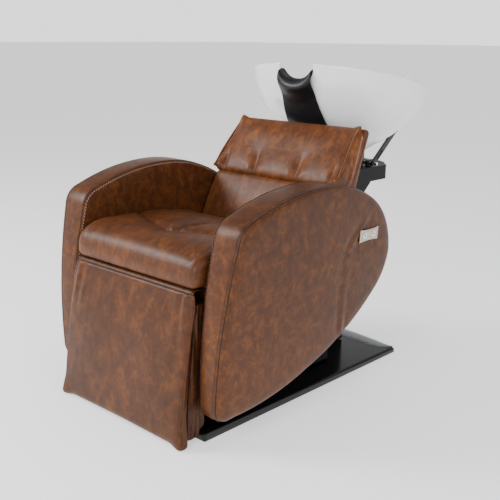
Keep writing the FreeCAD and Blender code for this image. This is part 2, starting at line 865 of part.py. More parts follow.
BOWL_DEPTHS = (0, 0.15, 0.3, 0.45, 0.6, 0.72)
DRAIN_PLAY = 0.2


def bowl_section(depth, shrink):
    """An ellipse of the bowl at a depth from 0, the rim, to 1, the apex below its foot."""
    spread = (1 - max(depth, 0) ** 2.1) ** 1.055
    half_width = d.bowl_half_width.value * spread - shrink
    half_depth = d.bowl_half_depth.value * spread - shrink
    slope = d.bowl_slope.value * (1 - depth)
    rim_centre = (d.bowl_front_height - d.bowl_half_depth * d.bowl_slope).value
    height = rim_centre + (d.bowl_apex.value - rim_centre) * depth
    centre = FreeCAD.Vector(0, d.bowl_centre.value + 7 * depth, height)
    across = centre + FreeCAD.Vector(half_width, 0, 0)
    along = centre + FreeCAD.Vector(0, half_depth, -slope * half_depth)
    return Part.Wire([Part.Ellipse(across, along, centre).toShape()])


def bowl_form(shrink, foot):
    """A closed bowl-shaped solid with a flat foot."""
    wires = [bowl_section(depth, shrink) for depth in BOWL_DEPTHS]
    half_width = 108 - shrink * 0.6
    half_depth = 78 - shrink * 0.6
    centre = FreeCAD.Vector(0, d.bowl_centre.value + 6, foot)
    wires.append(Part.Wire([Part.Ellipse(centre, half_width, half_depth).toShape()]))
    return Part.makeLoft(wires, True, False)


def solid_block(x, y, z):
    """A plain block with its corners given as (low, high) numbers."""
    corner = FreeCAD.Vector(x[0], y[0], z[0])
    return Part.makeBox(x[1] - x[0], y[1] - y[0], z[1] - z[0], corner)


def disc(centre, radius, low, high):
    return Part.makeCylinder(radius, high - low, FreeCAD.Vector(centre[0], centre[1], low))


def feature(label, shape):
    item = doc.addObject("Part::Feature", label + "_shape")
    item.Shape = shape
    return keep(item, label)


def neck_cutter(grow):
    """What leaves the neck cut-out: a round-bottomed channel through the front of the rim."""
    half = d.neck_half.value - grow
    low = d.neck_low.value + grow
    bottom = half - 18
    points = [FreeCAD.Vector(x, 150, z) for x, z in
              ((-half, 1000), (-half, low + 26), (-bottom, low), (bottom, low), (half, low + 26),
               (half, 1000), (-half, 1000))]
    channel = Part.Face(Part.makePolygon(points)).extrude(FreeCAD.Vector(0, 160, 0))
    low_edges = [edge for edge in channel.Edges
                 if abs(edge.BoundBox.YLength - 160) < 1 and edge.BoundBox.ZMax < low + 30]
    return channel.makeFillet(16, low_edges)


def make_bowl():
    wall = d.bowl_wall.value
    foot = d.bowl_foot.value
    outer = bowl_form(0, foot)
    shell = outer.cut(bowl_form(wall, foot + 12))
    deck_low = d.deck_top.value - 12
    deck = outer.common(solid_block((-300, 300), (d.deck_front.value, 700), (deck_low, d.deck_top.value)))
    shell = shell.fuse(deck).removeSplitter()
    shell = shell.cut(neck_cutter(0))
    drain = d.drain_depth.value
    shell = shell.cut(disc((0, drain), d.drain_tail.value + DRAIN_PLAY, foot - 5, foot + 40))
    feature("bowl", shell)
    make_bowl_support(outer)


def make_bowl_support(outer):
    """The axle on the shelf, and the cradle and rear arms that tilt on it with the bowl."""
    y, z = d.tilt_depth, d.tilt_height
    side = d.tilt_side
    keep(rod("axle", "X", (y, z), d.axle_radius, (-side - 16, side + 16)), "tilt_axle")
    stands = []
    for low, high in ((-98, -90), (90, 98)):
        plate = box("stand_plate", (low, high), (y - 12, y + 12), (d.shelf_high, z + 10))
        hole = rod("stand_hole", "X", (y, z), d.axle_radius, (low - 1, high + 1))
        stands.append(cut("stand", plate, [hole]))
    keep(group("stand_pair", stands), "tilt_stands")

    bore = d.axle_radius + d.pin_play
    parts = [box("cradle_plate", (-70, 70), (372, 482), (d.bowl_foot - 8, d.bowl_foot))]
    for low, high in ((-70, -62), (62, 70)):
        parts.append(box("cradle_cheek", (low, high), (y - 10, y + 10), (z, d.bowl_foot - 7)))
        parts.append(rod("cradle_eye", "X", (y, z), 10, (low, high)))
    holes = [rod("cradle_bore", "X", (y, z), bore, (-80, 80)),
             rod("cradle_drain", "Z", (0, d.drain_depth), d.drain_hole, (d.bowl_foot - 20, d.bowl_foot + 5))]
    keep(cut("cradle_cut", fuse("cradle_body", parts), holes), "bowl_cradle")

    arms = []
    for sign in (-1, 1):
        low, high = side.value * sign - 4.5, side.value * sign + 4.5
        arms.append(tilt_arm(low, high, outer))
    feature("tilt_arms", Part.makeCompound(arms))


def tilt_arm(low, high, outer):
    """A slotted flat bar from the axle up to the underside of the bowl."""
    y, z = d.tilt_depth.value, d.tilt_height.value
    rise = math.radians(40)
    forward = FreeCAD.Vector(0, math.cos(rise), math.sin(rise))
    up = FreeCAD.Vector(0, -math.sin(rise), math.cos(rise))
    start = FreeCAD.Vector(low, y, z)

    def bar(near, far, half):
        corners = [start + forward * near - up * half, start + forward * far - up * half,
                   start + forward * far + up * half, start + forward * near + up * half]
        return Part.Face(Part.makePolygon(corners + corners[:1])).extrude(FreeCAD.Vector(high - low, 0, 0))

    along_x = FreeCAD.Vector(1, 0, 0)
    eye = Part.makeCylinder(9, high - low, start, along_x)
    bore = Part.makeCylinder(d.axle_radius.value + d.pin_play.value, high - low, start, along_x)
    tip = start + forward * 170
    post = solid_block((low, high), (tip.y - 22, tip.y), (tip.z - 18, tip.z + 90))
    arm = eye.fuse([bar(0, 172, 8), post]).removeSplitter()
    return arm.cut([bore, bar(20, 62, 3.2), outer])


def joined(first, *others):
    return first.fuse(list(others)).removeSplitter()


def make_drain():
    """The drain fitting through the bowl's foot, and the strainer that lifts out of it."""
    foot = d.bowl_foot.value
    place_of = (0, d.drain_depth.value)
    tail = d.drain_tail.value
    bore = 20
    seat = foot + 15
    flange = joined(disc(place_of, 36, seat - 2.8, seat), disc(place_of, tail, foot - 38, seat - 2))
    feature("drain_fitting", flange.cut(disc(place_of, bore, foot - 40, seat + 5)))
    strainer = joined(
        disc(place_of, bore - 0.1, foot - 6, seat + 1),
        disc(place_of, 23, seat + 0.3, seat + 2.3),
        disc(place_of, 4, seat + 2, seat + 11),
    )
    feature("drain_strainer", strainer)


def make_mixer():
    """The mixer on the bowl's deck: its body with a spout, a cap that swings and a lever."""
    deck = d.deck_top.value
    x, y = d.mixer_side.value, d.mixer_depth.value
    spout_root = FreeCAD.Vector(x, y, deck + 30)
    spout = Part.makeCylinder(8, 90, spout_root, FreeCAD.Vector(-0.35, -1, 0.12))
    column = disc((x, y), 17, deck + 4, deck + 46)
    feature("mixer_body", joined(disc((x, y), 23, deck, deck + 5), column, spout))
    top = deck + 60
    along = FreeCAD.Vector(0.676, -0.737, 0)
    axis = FreeCAD.Vector(x, y, top + 10.5)
    cap = disc((x, y), 16, deck + 46.5, top)
    for side in (-1, 1):
        centre = axis + along * (12 * side)
        cap = joined(cap, disc((centre.x, centre.y), 3.2, top - 1, axis.z),
                     Part.makeCylinder(5.5, 4, centre - along * 2, along))
    feature("mixer_cap", cap.cut(Part.makeCylinder(3.1, 40, axis - along * 20, along)))
    handle = Part.makeCylinder(4, 46, axis, FreeCAD.Vector(0.6, 0.55, 0.25))
    hub = disc((x, y), 8.4, axis.z - 4, axis.z + 4)
    feature("mixer_lever", joined(hub, handle, Part.makeCylinder(3, 28, axis - along * 14, along)))



def make_shower():
    """The hand shower and the socket on the deck that it stands in."""
    deck = d.deck_top.value
    x, y = d.shower_side.value, d.shower_depth.value
    shaft = 12
    holder = joined(disc((x, y), 22, deck, deck + 4), disc((x, y), 17, deck + 3, deck + 22))
    feature("shower_holder", holder.cut(disc((x, y), shaft + 0.1, deck + 6, deck + 30)))
    head = Part.makeCylinder(21, 16, FreeCAD.Vector(x, y + 4, deck + 58), FreeCAD.Vector(0, -0.75, 0.3))
    feature("hand_shower", joined(disc((x, y), shaft, deck + 6.3, deck + 24),
                                  disc((x, y), 10, deck + 23, deck + 62), head))


def make_neck_rest():
    """A rubber saddle in the neck cut-out with a bib down the outside of the bowl."""
    wall = d.bowl_wall.value
    foot = d.bowl_foot.value
    gap = 0.3
    thick = 8
    channel = neck_cutter(thick + 1)
    bib = bowl_form(-gap - thick, foot - thick).cut(bowl_form(-gap, foot - gap))
    bib = bib.common(solid_block((-76, 76), (150, 330), (738, 895)))
    saddle = neck_cutter(gap).cut(channel)
    saddle = saddle.common(solid_block((-76, 76), (194, 262), (862, 904)))
    lip = bowl_form(wall + gap, foot + 13).cut(bowl_form(wall + 6, foot + 18))
    lip = lip.common(solid_block((-56, 56), (190, 330), (842, 881)))
    feature("neck_rest", joined(bib, saddle, lip).cut(channel))


def main():
    make_base()
    make_frame()
    make_services()
    bolts = make_arm(-1, "right") + make_arm(1, "left")
    keep(group("arm_bolt_set", bolts), "arm_bolts")
    make_switch()
    make_seat()
    make_back()
    make_legrest()
    make_column()
    make_bowl()
    make_drain()
    make_mixer()
    make_shower()
    make_neck_rest()


def write_parts():
    """Check every object, then write each finished sub-part."""
    doc.recompute()
    for item in doc.Objects:
        bad = [word for word in item.State if word in ("Invalid", "Error")]
        if bad:
            raise RuntimeError(f"{item.Name} ({item.Label}): {item.State}")
    for item in finished:
        shape = item.Shape
        if shape.isNull() or not shape.isValid():
            raise RuntimeError(f"{item.Label} has no valid shape")
    for item in finished:
        item.Shape.exportStep(f"parts/{item.Label}.step")
        box_of = item.Shape.BoundBox
        print(f"{item.Label:24s} {len(item.Shape.Solids)} solids {item.Shape.Volume / 1000:9.1f} cm3  "
              f"x {box_of.XMin:.1f} {box_of.XMax:.1f}  y {box_of.YMin:.1f} {box_of.YMax:.1f}  "
              f"z {box_of.ZMin:.1f} {box_of.ZMax:.1f}")


main()
write_parts()
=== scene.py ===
import json
import math
import random

import bmesh
import bpy
import numpy as np
from mathutils import Matrix, Vector
from mathutils.bvhtree import BVHTree


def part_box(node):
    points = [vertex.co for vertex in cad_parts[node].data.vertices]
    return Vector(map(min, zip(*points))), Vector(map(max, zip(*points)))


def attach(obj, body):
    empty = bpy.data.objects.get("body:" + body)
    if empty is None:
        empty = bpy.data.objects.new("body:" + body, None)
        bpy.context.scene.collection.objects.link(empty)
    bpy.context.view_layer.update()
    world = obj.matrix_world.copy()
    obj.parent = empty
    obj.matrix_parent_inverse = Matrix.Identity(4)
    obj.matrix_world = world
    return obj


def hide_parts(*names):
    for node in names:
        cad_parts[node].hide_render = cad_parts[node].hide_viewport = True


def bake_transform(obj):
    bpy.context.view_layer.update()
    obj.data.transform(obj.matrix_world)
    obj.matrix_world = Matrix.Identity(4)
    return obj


# Looks of the shampoo backwash unit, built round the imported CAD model.  Metres; the front of the
# chair is -Y, the sitter's left is +X and +Z is up.

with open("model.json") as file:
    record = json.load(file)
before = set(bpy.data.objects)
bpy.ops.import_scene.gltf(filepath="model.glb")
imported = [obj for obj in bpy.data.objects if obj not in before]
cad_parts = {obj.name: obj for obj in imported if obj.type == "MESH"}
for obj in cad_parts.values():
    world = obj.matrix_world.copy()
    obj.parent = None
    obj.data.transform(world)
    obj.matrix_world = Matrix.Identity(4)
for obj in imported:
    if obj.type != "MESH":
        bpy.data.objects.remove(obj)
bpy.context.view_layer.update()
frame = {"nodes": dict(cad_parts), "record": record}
MM = 0.001
SIDES = ((-1, "right"), (1, "left"))


# ---------------------------------------------------------------- camera, light and floor

# Each light: its place, the point that it faces, its size in metres and its power in watts.
LIGHTS = {
    "key": ((-2.4, -2.3, 2.5), (0.0, -0.2, 0.45), (1.5, 1.2), 120),
    "front": ((0.9, -3.1, 1.9), (0.0, -0.2, 0.4), (1.3, 1.0), 46),
    "side": ((3.2, -0.9, 2.1), (0.2, 0.0, 0.4), (1.3, 1.3), 26),
    "top": ((0.2, 0.9, 3.4), (0.0, 0.2, 0.3), (2.0, 2.0), 22),
}
SKY_STRENGTH = 1.75
SKY_LOW = (0.06, 1.0)        # (height, brightness) at the horizon and overhead
SKY_HIGH = (0.40, 0.20)
FLOOR_REACH = 90.0
FLOOR_GLOW = 0.75

CAMERA_PLACE = (1.6286, -1.7177, 1.0054)
CAMERA_AZIMUTH = math.radians(43.31)
CAMERA_PITCH = math.radians(14.81)
CAMERA_ROLL = math.radians(0.437)
CAMERA_LENS = 58.5


def placed(name, data):
    """A new object for this data, in the scene."""
    item = bpy.data.objects.new(name, data)
    bpy.context.scene.collection.objects.link(item)
    return item


def make_camera():
    data = bpy.data.cameras.new("camera")
    data.lens = CAMERA_LENS
    data.sensor_width = 36
    camera = placed("camera", data)
    turn = Matrix.Rotation(CAMERA_AZIMUTH, 4, "Z")
    tilt = Matrix.Rotation(math.pi / 2 - CAMERA_PITCH, 4, "X")
    roll = Matrix.Rotation(CAMERA_ROLL, 4, "Z")
    camera.matrix_world = Matrix.Translation(CAMERA_PLACE) @ turn @ tilt @ roll
    bpy.context.scene.camera = camera


def area_light(name, place, target, size, power):
    data = bpy.data.lights.new(name, "AREA")
    data.shape = "RECTANGLE"
    data.size, data.size_y = size
    data.energy = power
    light = placed(name, data)
    light.location = place
    light.rotation_mode = "QUATERNION"
    light.rotation_quaternion = (Vector(target) - Vector(place)).to_track_quat("-Z", "Y")


def make_sky():
    """A soft white surround, brightest at the horizon."""
    world = bpy.data.worlds.new("studio")
    world.use_nodes = True
    nodes = world.node_tree.nodes
    links = world.node_tree.links
    place = nodes.new("ShaderNodeTexCoord")
    split = nodes.new("ShaderNodeSeparateXYZ")
    shade = nodes.new("ShaderNodeValToRGB")
    for element, (height, level) in zip(shade.color_ramp.elements, (SKY_LOW, SKY_HIGH)):
        element.position = height
        element.color = (level, level, level, 1)
    links.new(place.outputs["Generated"], split.inputs["Vector"])
    links.new(split.outputs["Z"], shade.inputs["Fac"])
    links.new(shade.outputs["Color"], nodes["Background"].inputs["Color"])
    nodes["Background"].inputs["Strength"].default_value = SKY_STRENGTH
    bpy.context.scene.world = world


def make_floor():
    mesh = bpy.data.meshes.new("floor")
    far = FLOOR_REACH
    mesh.from_pydata([(-far, -far, 0), (far, -far, 0), (far, far, 0), (-far, far, 0)], [], [(0, 1, 2, 3)])
    floor = placed("floor", mesh)
    paint, links, shader, node = shading("floor_paint")
    noise = node("ShaderNodeTexNoise", Scale=3.0, Detail=3.0)
    tone = ramp(node, [(0.3, (0.93, 0.93, 0.93)), (0.7, (0.95, 0.95, 0.95))])
    links.new(noise.outputs["Fac"], tone.inputs["Fac"])
    links.new(tone.outputs["Color"], shader.inputs["Base Color"])
    shader.inputs["Roughness"].default_value = 0.7
    shader.inputs["Specular IOR Level"].default_value = 0.2
    shader.inputs["Emission Color"].default_value = (1, 1, 1, 1)
    shader.inputs["Emission Strength"].default_value = FLOOR_GLOW
    mesh.materials.append(paint)


def make_studio():
    make_sky()
    for name, facts in LIGHTS.items():
        area_light(name, *facts)
    make_floor()


# ---------------------------------------------------------------- materials

def shading(name):
    """A new material: itself, its links, its shader and a function that adds nodes."""
    paint = bpy.data.materials.new(name)
    paint.use_nodes = True
    nodes = paint.node_tree.nodes
    shader = nodes["Principled BSDF"]

    def node(kind, **inputs):
        made = nodes.new(kind)
        for key, value in inputs.items():
            made.inputs[key].default_value = value
        return made

    return paint, paint.node_tree.links, shader, node


def ramp(node, stops):
    """A colour ramp with the given (place, colour) stops."""
    made = node("ShaderNodeValToRGB")
    elements = made.color_ramp.elements
    while len(elements) < len(stops):
        elements.new(0.5)
    for element, (place, colour) in zip(elements, stops):
        element.position = place
        element.color = (*colour, 1)
    return made


def value_ramp(node, low, high, start=0.3, end=0.7):
    made = node("ShaderNodeMapRange")
    made.inputs["From Min"].default_value = start
    made.inputs["From Max"].default_value = end
    made.inputs["To Min"].default_value = low
    made.inputs["To Max"].default_value = high
    return made


def bump(node, links, height, strength, distance, under=None):
    made = node("ShaderNodeBump", Strength=strength, Distance=distance)
    links.new(height, made.inputs["Height"])
    if under is not None:
        links.new(under.outputs["Normal"], made.inputs["Normal"])
    return made


LEATHER_DARK = (0.060, 0.020, 0.008)
LEATHER_MID = (0.100, 0.032, 0.010)
LEATHER_RUST = (0.215, 0.070, 0.015)


def leather(name, stretch=(1, 1, 1), turn=(0, 0, 0), shade=1.0, patches=40.0):
    """Mottled pull-up leather: rust patches on dark brown, fine creases and a pebbled grain."""
    paint, links, shader, node = shading(name)
    place = node("ShaderNodeTexCoord")
    mapped = node("ShaderNodeMapping", Scale=stretch, Rotation=turn)
    links.new(place.outputs["Object"], mapped.inputs["Vector"])

    def noise(scale, detail, roughness, distortion=0.0, source=mapped):
        made = node("ShaderNodeTexNoise", Scale=scale, Detail=detail, Roughness=roughness,
                    Distortion=distortion)
        links.new(source.outputs[0 if source is mapped else "Object"], made.inputs["Vector"])
        return made

    broad = noise(patches, 5.0, 0.60, 0.5)
    fine = noise(patches * 3.0, 5.0, 0.65, 0.4)
    mix = node("ShaderNodeMix")
    mix.inputs["Factor"].default_value = 0.40
    links.new(broad.outputs["Fac"], mix.inputs["A"])
    links.new(fine.outputs["Fac"], mix.inputs["B"])

    def shaded(colour):
        return tuple(part * shade for part in colour)

    tone = ramp(node, [(0.34, shaded(LEATHER_DARK)), (0.50, shaded(LEATHER_MID)),
                       (0.72, shaded(LEATHER_RUST))])
    links.new(mix.outputs["Result"], tone.inputs["Fac"])
    cloud = noise(3.2, 2.0, 0.5)
    depth = ramp(node, [(0.30, (0.80, 0.80, 0.82)), (0.72, (1.12, 1.10, 1.06))])
    links.new(cloud.outputs["Fac"], depth.inputs["Fac"])
    blend = node("ShaderNodeMix")
    blend.data_type = "RGBA"
    blend.blend_type = "MULTIPLY"
    blend.inputs["Factor"].default_value = 1.0
    links.new(tone.outputs["Color"], blend.inputs["A"])
    links.new(depth.outputs["Color"], blend.inputs["B"])
    links.new(blend.outputs["Result"], shader.inputs["Base Color"])

    rough = value_ramp(node, 0.32, 0.48)
    links.new(fine.outputs["Fac"], rough.inputs["Value"])
    links.new(rough.outputs["Result"], shader.inputs["Roughness"])
    shader.inputs["Specular IOR Level"].default_value = 0.22

    grain = node("ShaderNodeTexVoronoi", Scale=620.0)
    grain.feature = "SMOOTH_F1"
    links.new(place.outputs["Object"], grain.inputs["Vector"])
    creases = noise(120.0, 4.0, 0.6, 0.8, place)
    first = bump(node, links, grain.outputs["Distance"], 0.22, 0.0005)
    second = bump(node, links, creases.outputs["Fac"], 0.16, 0.0014, first)
    links.new(second.outputs["Normal"], shader.inputs["Normal"])
    return paint


def speckled(name, low, high, scale=220.0, rough=(0.3, 0.45), relief=0.1, metal=0.0, coat=0.0,
             distance=0.0004, specular=0.5, stretch=(1, 1, 1)):
    """A moulded, painted or metal finish: fine variation in colour, gloss and relief."""
    paint, links, shader, node = shading(name)
    place = node("ShaderNodeTexCoord")
    mapped = node("ShaderNodeMapping", Scale=stretch)
    links.new(place.outputs["Object"], mapped.inputs["Vector"])
    noise = node("ShaderNodeTexNoise", Scale=scale, Detail=4.0, Roughness=0.6)
    links.new(mapped.outputs["Vector"], noise.inputs["Vector"])
    tone = ramp(node, [(0.35, low), (0.68, high)])
    links.new(noise.outputs["Fac"], tone.inputs["Fac"])
    links.new(tone.outputs["Color"], shader.inputs["Base Color"])
    gloss = value_ramp(node, *rough)
    links.new(noise.outputs["Fac"], gloss.inputs["Value"])
    links.new(gloss.outputs["Result"], shader.inputs["Roughness"])
    relief_node = bump(node, links, noise.outputs["Fac"], relief, distance)
    links.new(relief_node.outputs["Normal"], shader.inputs["Normal"])
    shader.inputs["Metallic"].default_value = metal
    shader.inputs["Coat Weight"].default_value = coat
    shader.inputs["Coat Roughness"].default_value = 0.05
    shader.inputs["Specular IOR Level"].default_value = specular
    return paint


def plywood():
    """Layered pale wood with a long grain."""
    paint, links, shader, node = shading("plywood_grain")
    place = node("ShaderNodeTexCoord")
    wave = node("ShaderNodeTexWave", Scale=9.0, Distortion=6.0, Detail=3.0)
    links.new(place.outputs["Object"], wave.inputs["Vector"])
    tone = ramp(node, [(0.2, (0.42, 0.27, 0.14)), (0.8, (0.60, 0.42, 0.25))])
    links.new(wave.outputs["Fac"], tone.inputs["Fac"])
    links.new(tone.outputs["Color"], shader.inputs["Base Color"])
    relief = bump(node, links, wave.outputs["Fac"], 0.1, 0.0005)
    links.new(relief.outputs["Normal"], shader.inputs["Normal"])
    shader.inputs["Roughness"].default_value = 0.62
    return paint


def make_paints():
    paints = {
        "arm": leather("leather_arm", (1.0, 1.0, 0.85), (0, 0, 0), 0.84, 42.0),
        "seat": leather("leather_seat", (1.5, 0.7, 0.8), (0, 0, 0.5), 1.0, 30.0),
        "back": leather("leather_back", (1.3, 0.8, 0.75), (0.5, 0.5, 0.2), 1.2, 30.0),
        "legrest": leather("leather_legrest", (1.1, 1.0, 0.8), (0, 0.3, 0), 0.76, 28.0),
        # A darker copy of the same leather, for the legrest box and the flap under the seat: painted shade.
        "inner": leather("leather_shaded_copy", (1.0, 1.0, 0.6), (0, 0, 0), 0.55),
        "gusset": leather("leather_gusset", (1.0, 1.0, 1.6), (0, 0, 0), 1.7, 30.0),
        "thread_dark": speckled("thread_dark", (0.012, 0.006, 0.005), (0.03, 0.014, 0.010), 900.0,
                                (0.5, 0.7), 0.3),
        # Pale thread for the whip and pillow stitches. On the arms' inner seams the same pale stitches also
        # stand for the light along the seam: painted highlight.
        "pale_thread_and_highlight": speckled("pale_thread_and_highlight", (0.42, 0.25, 0.17), (0.58, 0.38, 0.28), 900.0,
                                 (0.5, 0.7), 0.3),
        # Near-black paint for the tubes laid in the arms' seams: painted shade down in each seam.
        "seam_shade_paint": speckled("seam_shadow", (0.010, 0.005, 0.004), (0.02, 0.010, 0.008), 300.0,
                           (0.6, 0.8)),
        "base_gloss": speckled("gloss_black", (0.003, 0.003, 0.0035), (0.006, 0.006, 0.007), 90.0,
                               (0.12, 0.22), 0.03, specular=0.32),
        "black_plastic": speckled("moulded_black", (0.006, 0.006, 0.007), (0.020, 0.021, 0.024), 260.0,
                                  (0.34, 0.6), 0.35, distance=0.0006, specular=0.12),
        "frame_steel": speckled("frame_paint", (0.018, 0.018, 0.020), (0.032, 0.032, 0.034), 400.0,
                                (0.45, 0.6), 0.2),
        "black_steel": speckled("black_enamel", (0.006, 0.006, 0.007), (0.012, 0.012, 0.013), 300.0,
                                (0.22, 0.35), 0.08),
        "bright_steel": speckled("chrome_plate", (0.72, 0.72, 0.74), (0.84, 0.84, 0.86), 60.0,
                                 (0.06, 0.16), 0.02, metal=1.0),
        "switch_metal": speckled("brushed_champagne", (0.46, 0.40, 0.32), (0.60, 0.53, 0.44), 420.0,
                                 (0.28, 0.42), 0.12, metal=0.85, stretch=(1, 0.04, 1)),
        "ceramic": speckled("white_glaze", (0.86, 0.87, 0.88), (0.90, 0.905, 0.91), 14.0,
                            (0.10, 0.18), 0.02, coat=0.5),
        "neck_rubber": speckled("neck_rubber", (0.004, 0.004, 0.005), (0.007, 0.007, 0.008), 130.0,
                                (0.30, 0.44), 0.16, distance=0.0008, specular=0.28),
        "foot_rubber": speckled("foot_rubber", (0.02, 0.02, 0.02), (0.04, 0.04, 0.04), 300.0,
                                (0.6, 0.8), 0.3),
        "lamp": speckled("lamp_lens", (0.55, 0.62, 0.70), (0.75, 0.80, 0.86), 200.0, (0.1, 0.2)),
        "brass_fitting": speckled("brass_turned", (0.58, 0.42, 0.18), (0.72, 0.55, 0.27), 300.0,
                                  (0.22, 0.35), 0.06, metal=1.0),
        "plywood": plywood(),
        "lip": speckled("satin_lip", (0.20, 0.215, 0.235), (0.26, 0.275, 0.295), 120.0, (0.25, 0.4), 0.05),
    }
    paints["upholstery"] = paints["arm"]
    return paints


# ---------------------------------------------------------------- mesh helpers

def put(name, mesh, paint, body=None, replaces=(), smooth=True):
    """Wrap a mesh in an object, paint it and seat it on its body."""
    item = placed(name, mesh)
    if not mesh.materials:
        mesh.materials.append(paint)
    if smooth:
        mesh.shade_smooth()
    if body:
        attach(item, body)
    if replaces:
        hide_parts(*replaces)
    return item


def mesh_from(name, points, faces):
    mesh = bpy.data.meshes.new(name)
    mesh.from_pydata([tuple(point) for point in points], [], faces)
    mesh.validate()
    tool = bmesh.new()
    tool.from_mesh(mesh)
    bmesh.ops.recalc_face_normals(tool, faces=tool.faces)
    tool.to_mesh(mesh)
    tool.free()
    return mesh


def skin(name, rings, closed_ring=True, caps=True):
    """A mesh through rings of equally many points."""
    count = len(rings[0])
    points = [point for ring in rings for point in ring]
    faces = []
    steps = count if closed_ring else count - 1
    for row in range(len(rings) - 1):
        for column in range(steps):
            a = row * count + column
            b = row * count + (column + 1) % count
            faces.append((a, b, b + count, a + count))
    if caps:
        for first in (0, (len(rings) - 1) * count):
            centre = len(points)
            points.append(np.mean([points[first + column] for column in range(count)], axis=0))
            faces += [(first + column, first + (column + 1) % count, centre) for column in range(count)]
    return mesh_from(name, points, faces)


def travelled(line):
    """Distance along a line of points, at each point."""
    return np.concatenate([[0], np.cumsum(np.linalg.norm(np.diff(line, axis=0), axis=1))])


def resampled(points, count, closed=True):
    """Points evenly spaced along a line of straight runs."""
    line = np.asarray(points, float)
    if closed:
        line = np.vstack([line, line[:1]])
    gone = travelled(line)
    wanted = np.linspace(0, gone[-1], count, endpoint=not closed)
    return np.column_stack([np.interp(wanted, gone, line[:, axis]) for axis in range(line.shape[1])])


def curve_through(points, count, closed=False):
    """An even, smooth line through a few points (a Catmull-Rom curve)."""
    given = np.asarray(points, float)
    if closed:
        padded_points = np.vstack([given[-1:], given, given[:2]])
    else:
        padded_points = np.vstack([2 * given[0] - given[1], given, 2 * given[-1] - given[-2]])
    made = []
    share = np.linspace(0, 1, 13)[:-1, None]
    for a, b, c, e in zip(padded_points, padded_points[1:], padded_points[2:], padded_points[3:]):
        made.append(0.5 * (2 * b + (c - a) * share + (2 * a - 5 * b + 4 * c - e) * share ** 2
                           + (3 * b - a - 3 * c + e) * share ** 3))
    line = np.vstack(made if closed else [*made, given[-1:]])
    return resampled(line, count, closed)


def inward(loop):
    """Unit normals of a closed (y, z) loop that point to its inside."""
    ahead = np.roll(loop, -1, axis=0) - np.roll(loop, 1, axis=0)
    normal = np.column_stack([-ahead[:, 1], ahead[:, 0]])
    normal /= np.linalg.norm(normal, axis=1)[:, None]
    centre = loop.mean(0)
    if ((centre - loop) * normal).sum() < 0:
        normal = -normal
    return normal


def tube(name, line, radius, sides=8, closed=False):
    """A round tube along a line of points."""
    line = np.asarray(line, float)
    count = len(line)
    rings = []
    side = None
    for index in range(count):
        before = line[(index - 1) % count] if closed else line[max(index - 1, 0)]
        after = line[(index + 1) % count] if closed else line[min(index + 1, count - 1)]
        along = after - before
        along /= max(np.linalg.norm(along), 1e-9)
        guide = side if side is not None else np.array([0.31, 0.17, 0.93])
        side = guide - along * (guide @ along)
        side /= np.linalg.norm(side)
        up = np.cross(along, side)
        ring = [line[index] + radius * (math.cos(turn) * side + math.sin(turn) * up)
                for turn in np.linspace(0, 2 * math.pi, sides, endpoint=False)]
        rings.append(ring)
    if closed:
        rings.append(rings[0])
    return skin(name, rings, True, not closed)


def threads(name, line, normals, pitch, length, radius, slant):
    """A row of stitches along a line: each a short, thick, pointed thread that lies on the surface."""
    line = np.asarray(line, float)
    gone = travelled(line)
    points, faces = [], []
    sides = 6

    def at(distance):
        return np.array([np.interp(distance, gone, line[:, axis]) for axis in range(3)])

    for start in np.arange(pitch / 2, gone[-1] - length, pitch):
        middle = at(start)
        along = at(start + length / 2) - middle
        along /= max(np.linalg.norm(along), 1e-9)
        index = min(int(np.searchsorted(gone, start)), len(normals) - 1)
        out = normals[index] / np.linalg.norm(normals[index])
        across = np.cross(out, along)
        along = along * math.cos(slant) + across * math.sin(slant)
        across = np.cross(out, along)
        base = len(points)
        for place, width in ((-0.5, 0.35), (-0.3, 0.9), (0.0, 1.0), (0.3, 0.9), (0.5, 0.35)):
            lift = radius * (0.55 - 2.2 * place * place)
            for turn in np.linspace(0, 2 * math.pi, sides, endpoint=False):
                points.append(middle + along * place * length
                              + across * radius * width * math.cos(turn)
                              + out * (radius * width * math.sin(turn) + lift))
        for row in range(4):
            for column in range(sides):
                a = base + row * sides + column
                b = base + row * sides + (column + 1) % sides
                faces.append((a, b, b + sides, a + sides))
        faces.append(tuple(base + column for column in range(sides)))
        faces.append(tuple(base + 4 * sides + column for column in range(sides)))
    return mesh_from(name, points, faces)


def sew(name, line, normals, size, paint, body="root", slant=0.0):
    """A visible row of stitches.  size is their pitch, length and radius in mm."""
    pitch, length, radius = (part * MM for part in size)
    put(name, threads(name, line, normals, pitch, length, radius, slant), paint, body)


def pipe(name, line, radius, sides, paint, body="root", closed=False):
    """A visible piping, or a dark tube for the painted shade in a seam, of this radius in mm."""
    put(name, tube(name, line, radius * MM, sides, closed), paint, body)


def applied(item):
    """Turn an object's modifiers into its mesh."""
    graph = bpy.context.evaluated_depsgraph_get()
    mesh = bpy.data.meshes.new_from_object(item.evaluated_get(graph))
    item.modifiers.clear()
    old = item.data
    item.data = mesh
    bpy.data.meshes.remove(old)
    mesh.shade_smooth()


def subdivided(item):
    modifier = item.modifiers.new("round", "SUBSURF")
    modifier.levels = 1
    modifier.render_levels = 1
    applied(item)


def thickened(item, thickness, offset):
    """Give a sheet its thickness: offset -1 grows it inwards, 0 both ways."""
    modifier = item.modifiers.new("thick", "SOLIDIFY")
    modifier.thickness = thickness
    modifier.offset = offset
    applied(item)


def recoloured(item, paint):
    item.data.materials.clear()
    item.data.materials.append(paint)


def points_of(item):
    count = len(item.data.vertices)
    places = np.zeros(count * 3, np.float32)
    item.data.vertices.foreach_get("co", places)
    return places.reshape(-1, 3).astype(float)


def set_points(item, places):
    item.data.vertices.foreach_set("co", places.astype(np.float32).ravel())
    item.data.update()


def remeshed(item, voxel):
    modifier = item.modifiers.new("remesh", "REMESH")
    modifier.mode = "VOXEL"
    modifier.voxel_size = voxel
    modifier.use_smooth_shade = True
    applied(item)


def smoothed(item, steps):
    modifier = item.modifiers.new("smooth", "SMOOTH")
    modifier.iterations = steps
    modifier.factor = 0.5
    applied(item)


FRAMES = 20
PRESSURE = 4.0


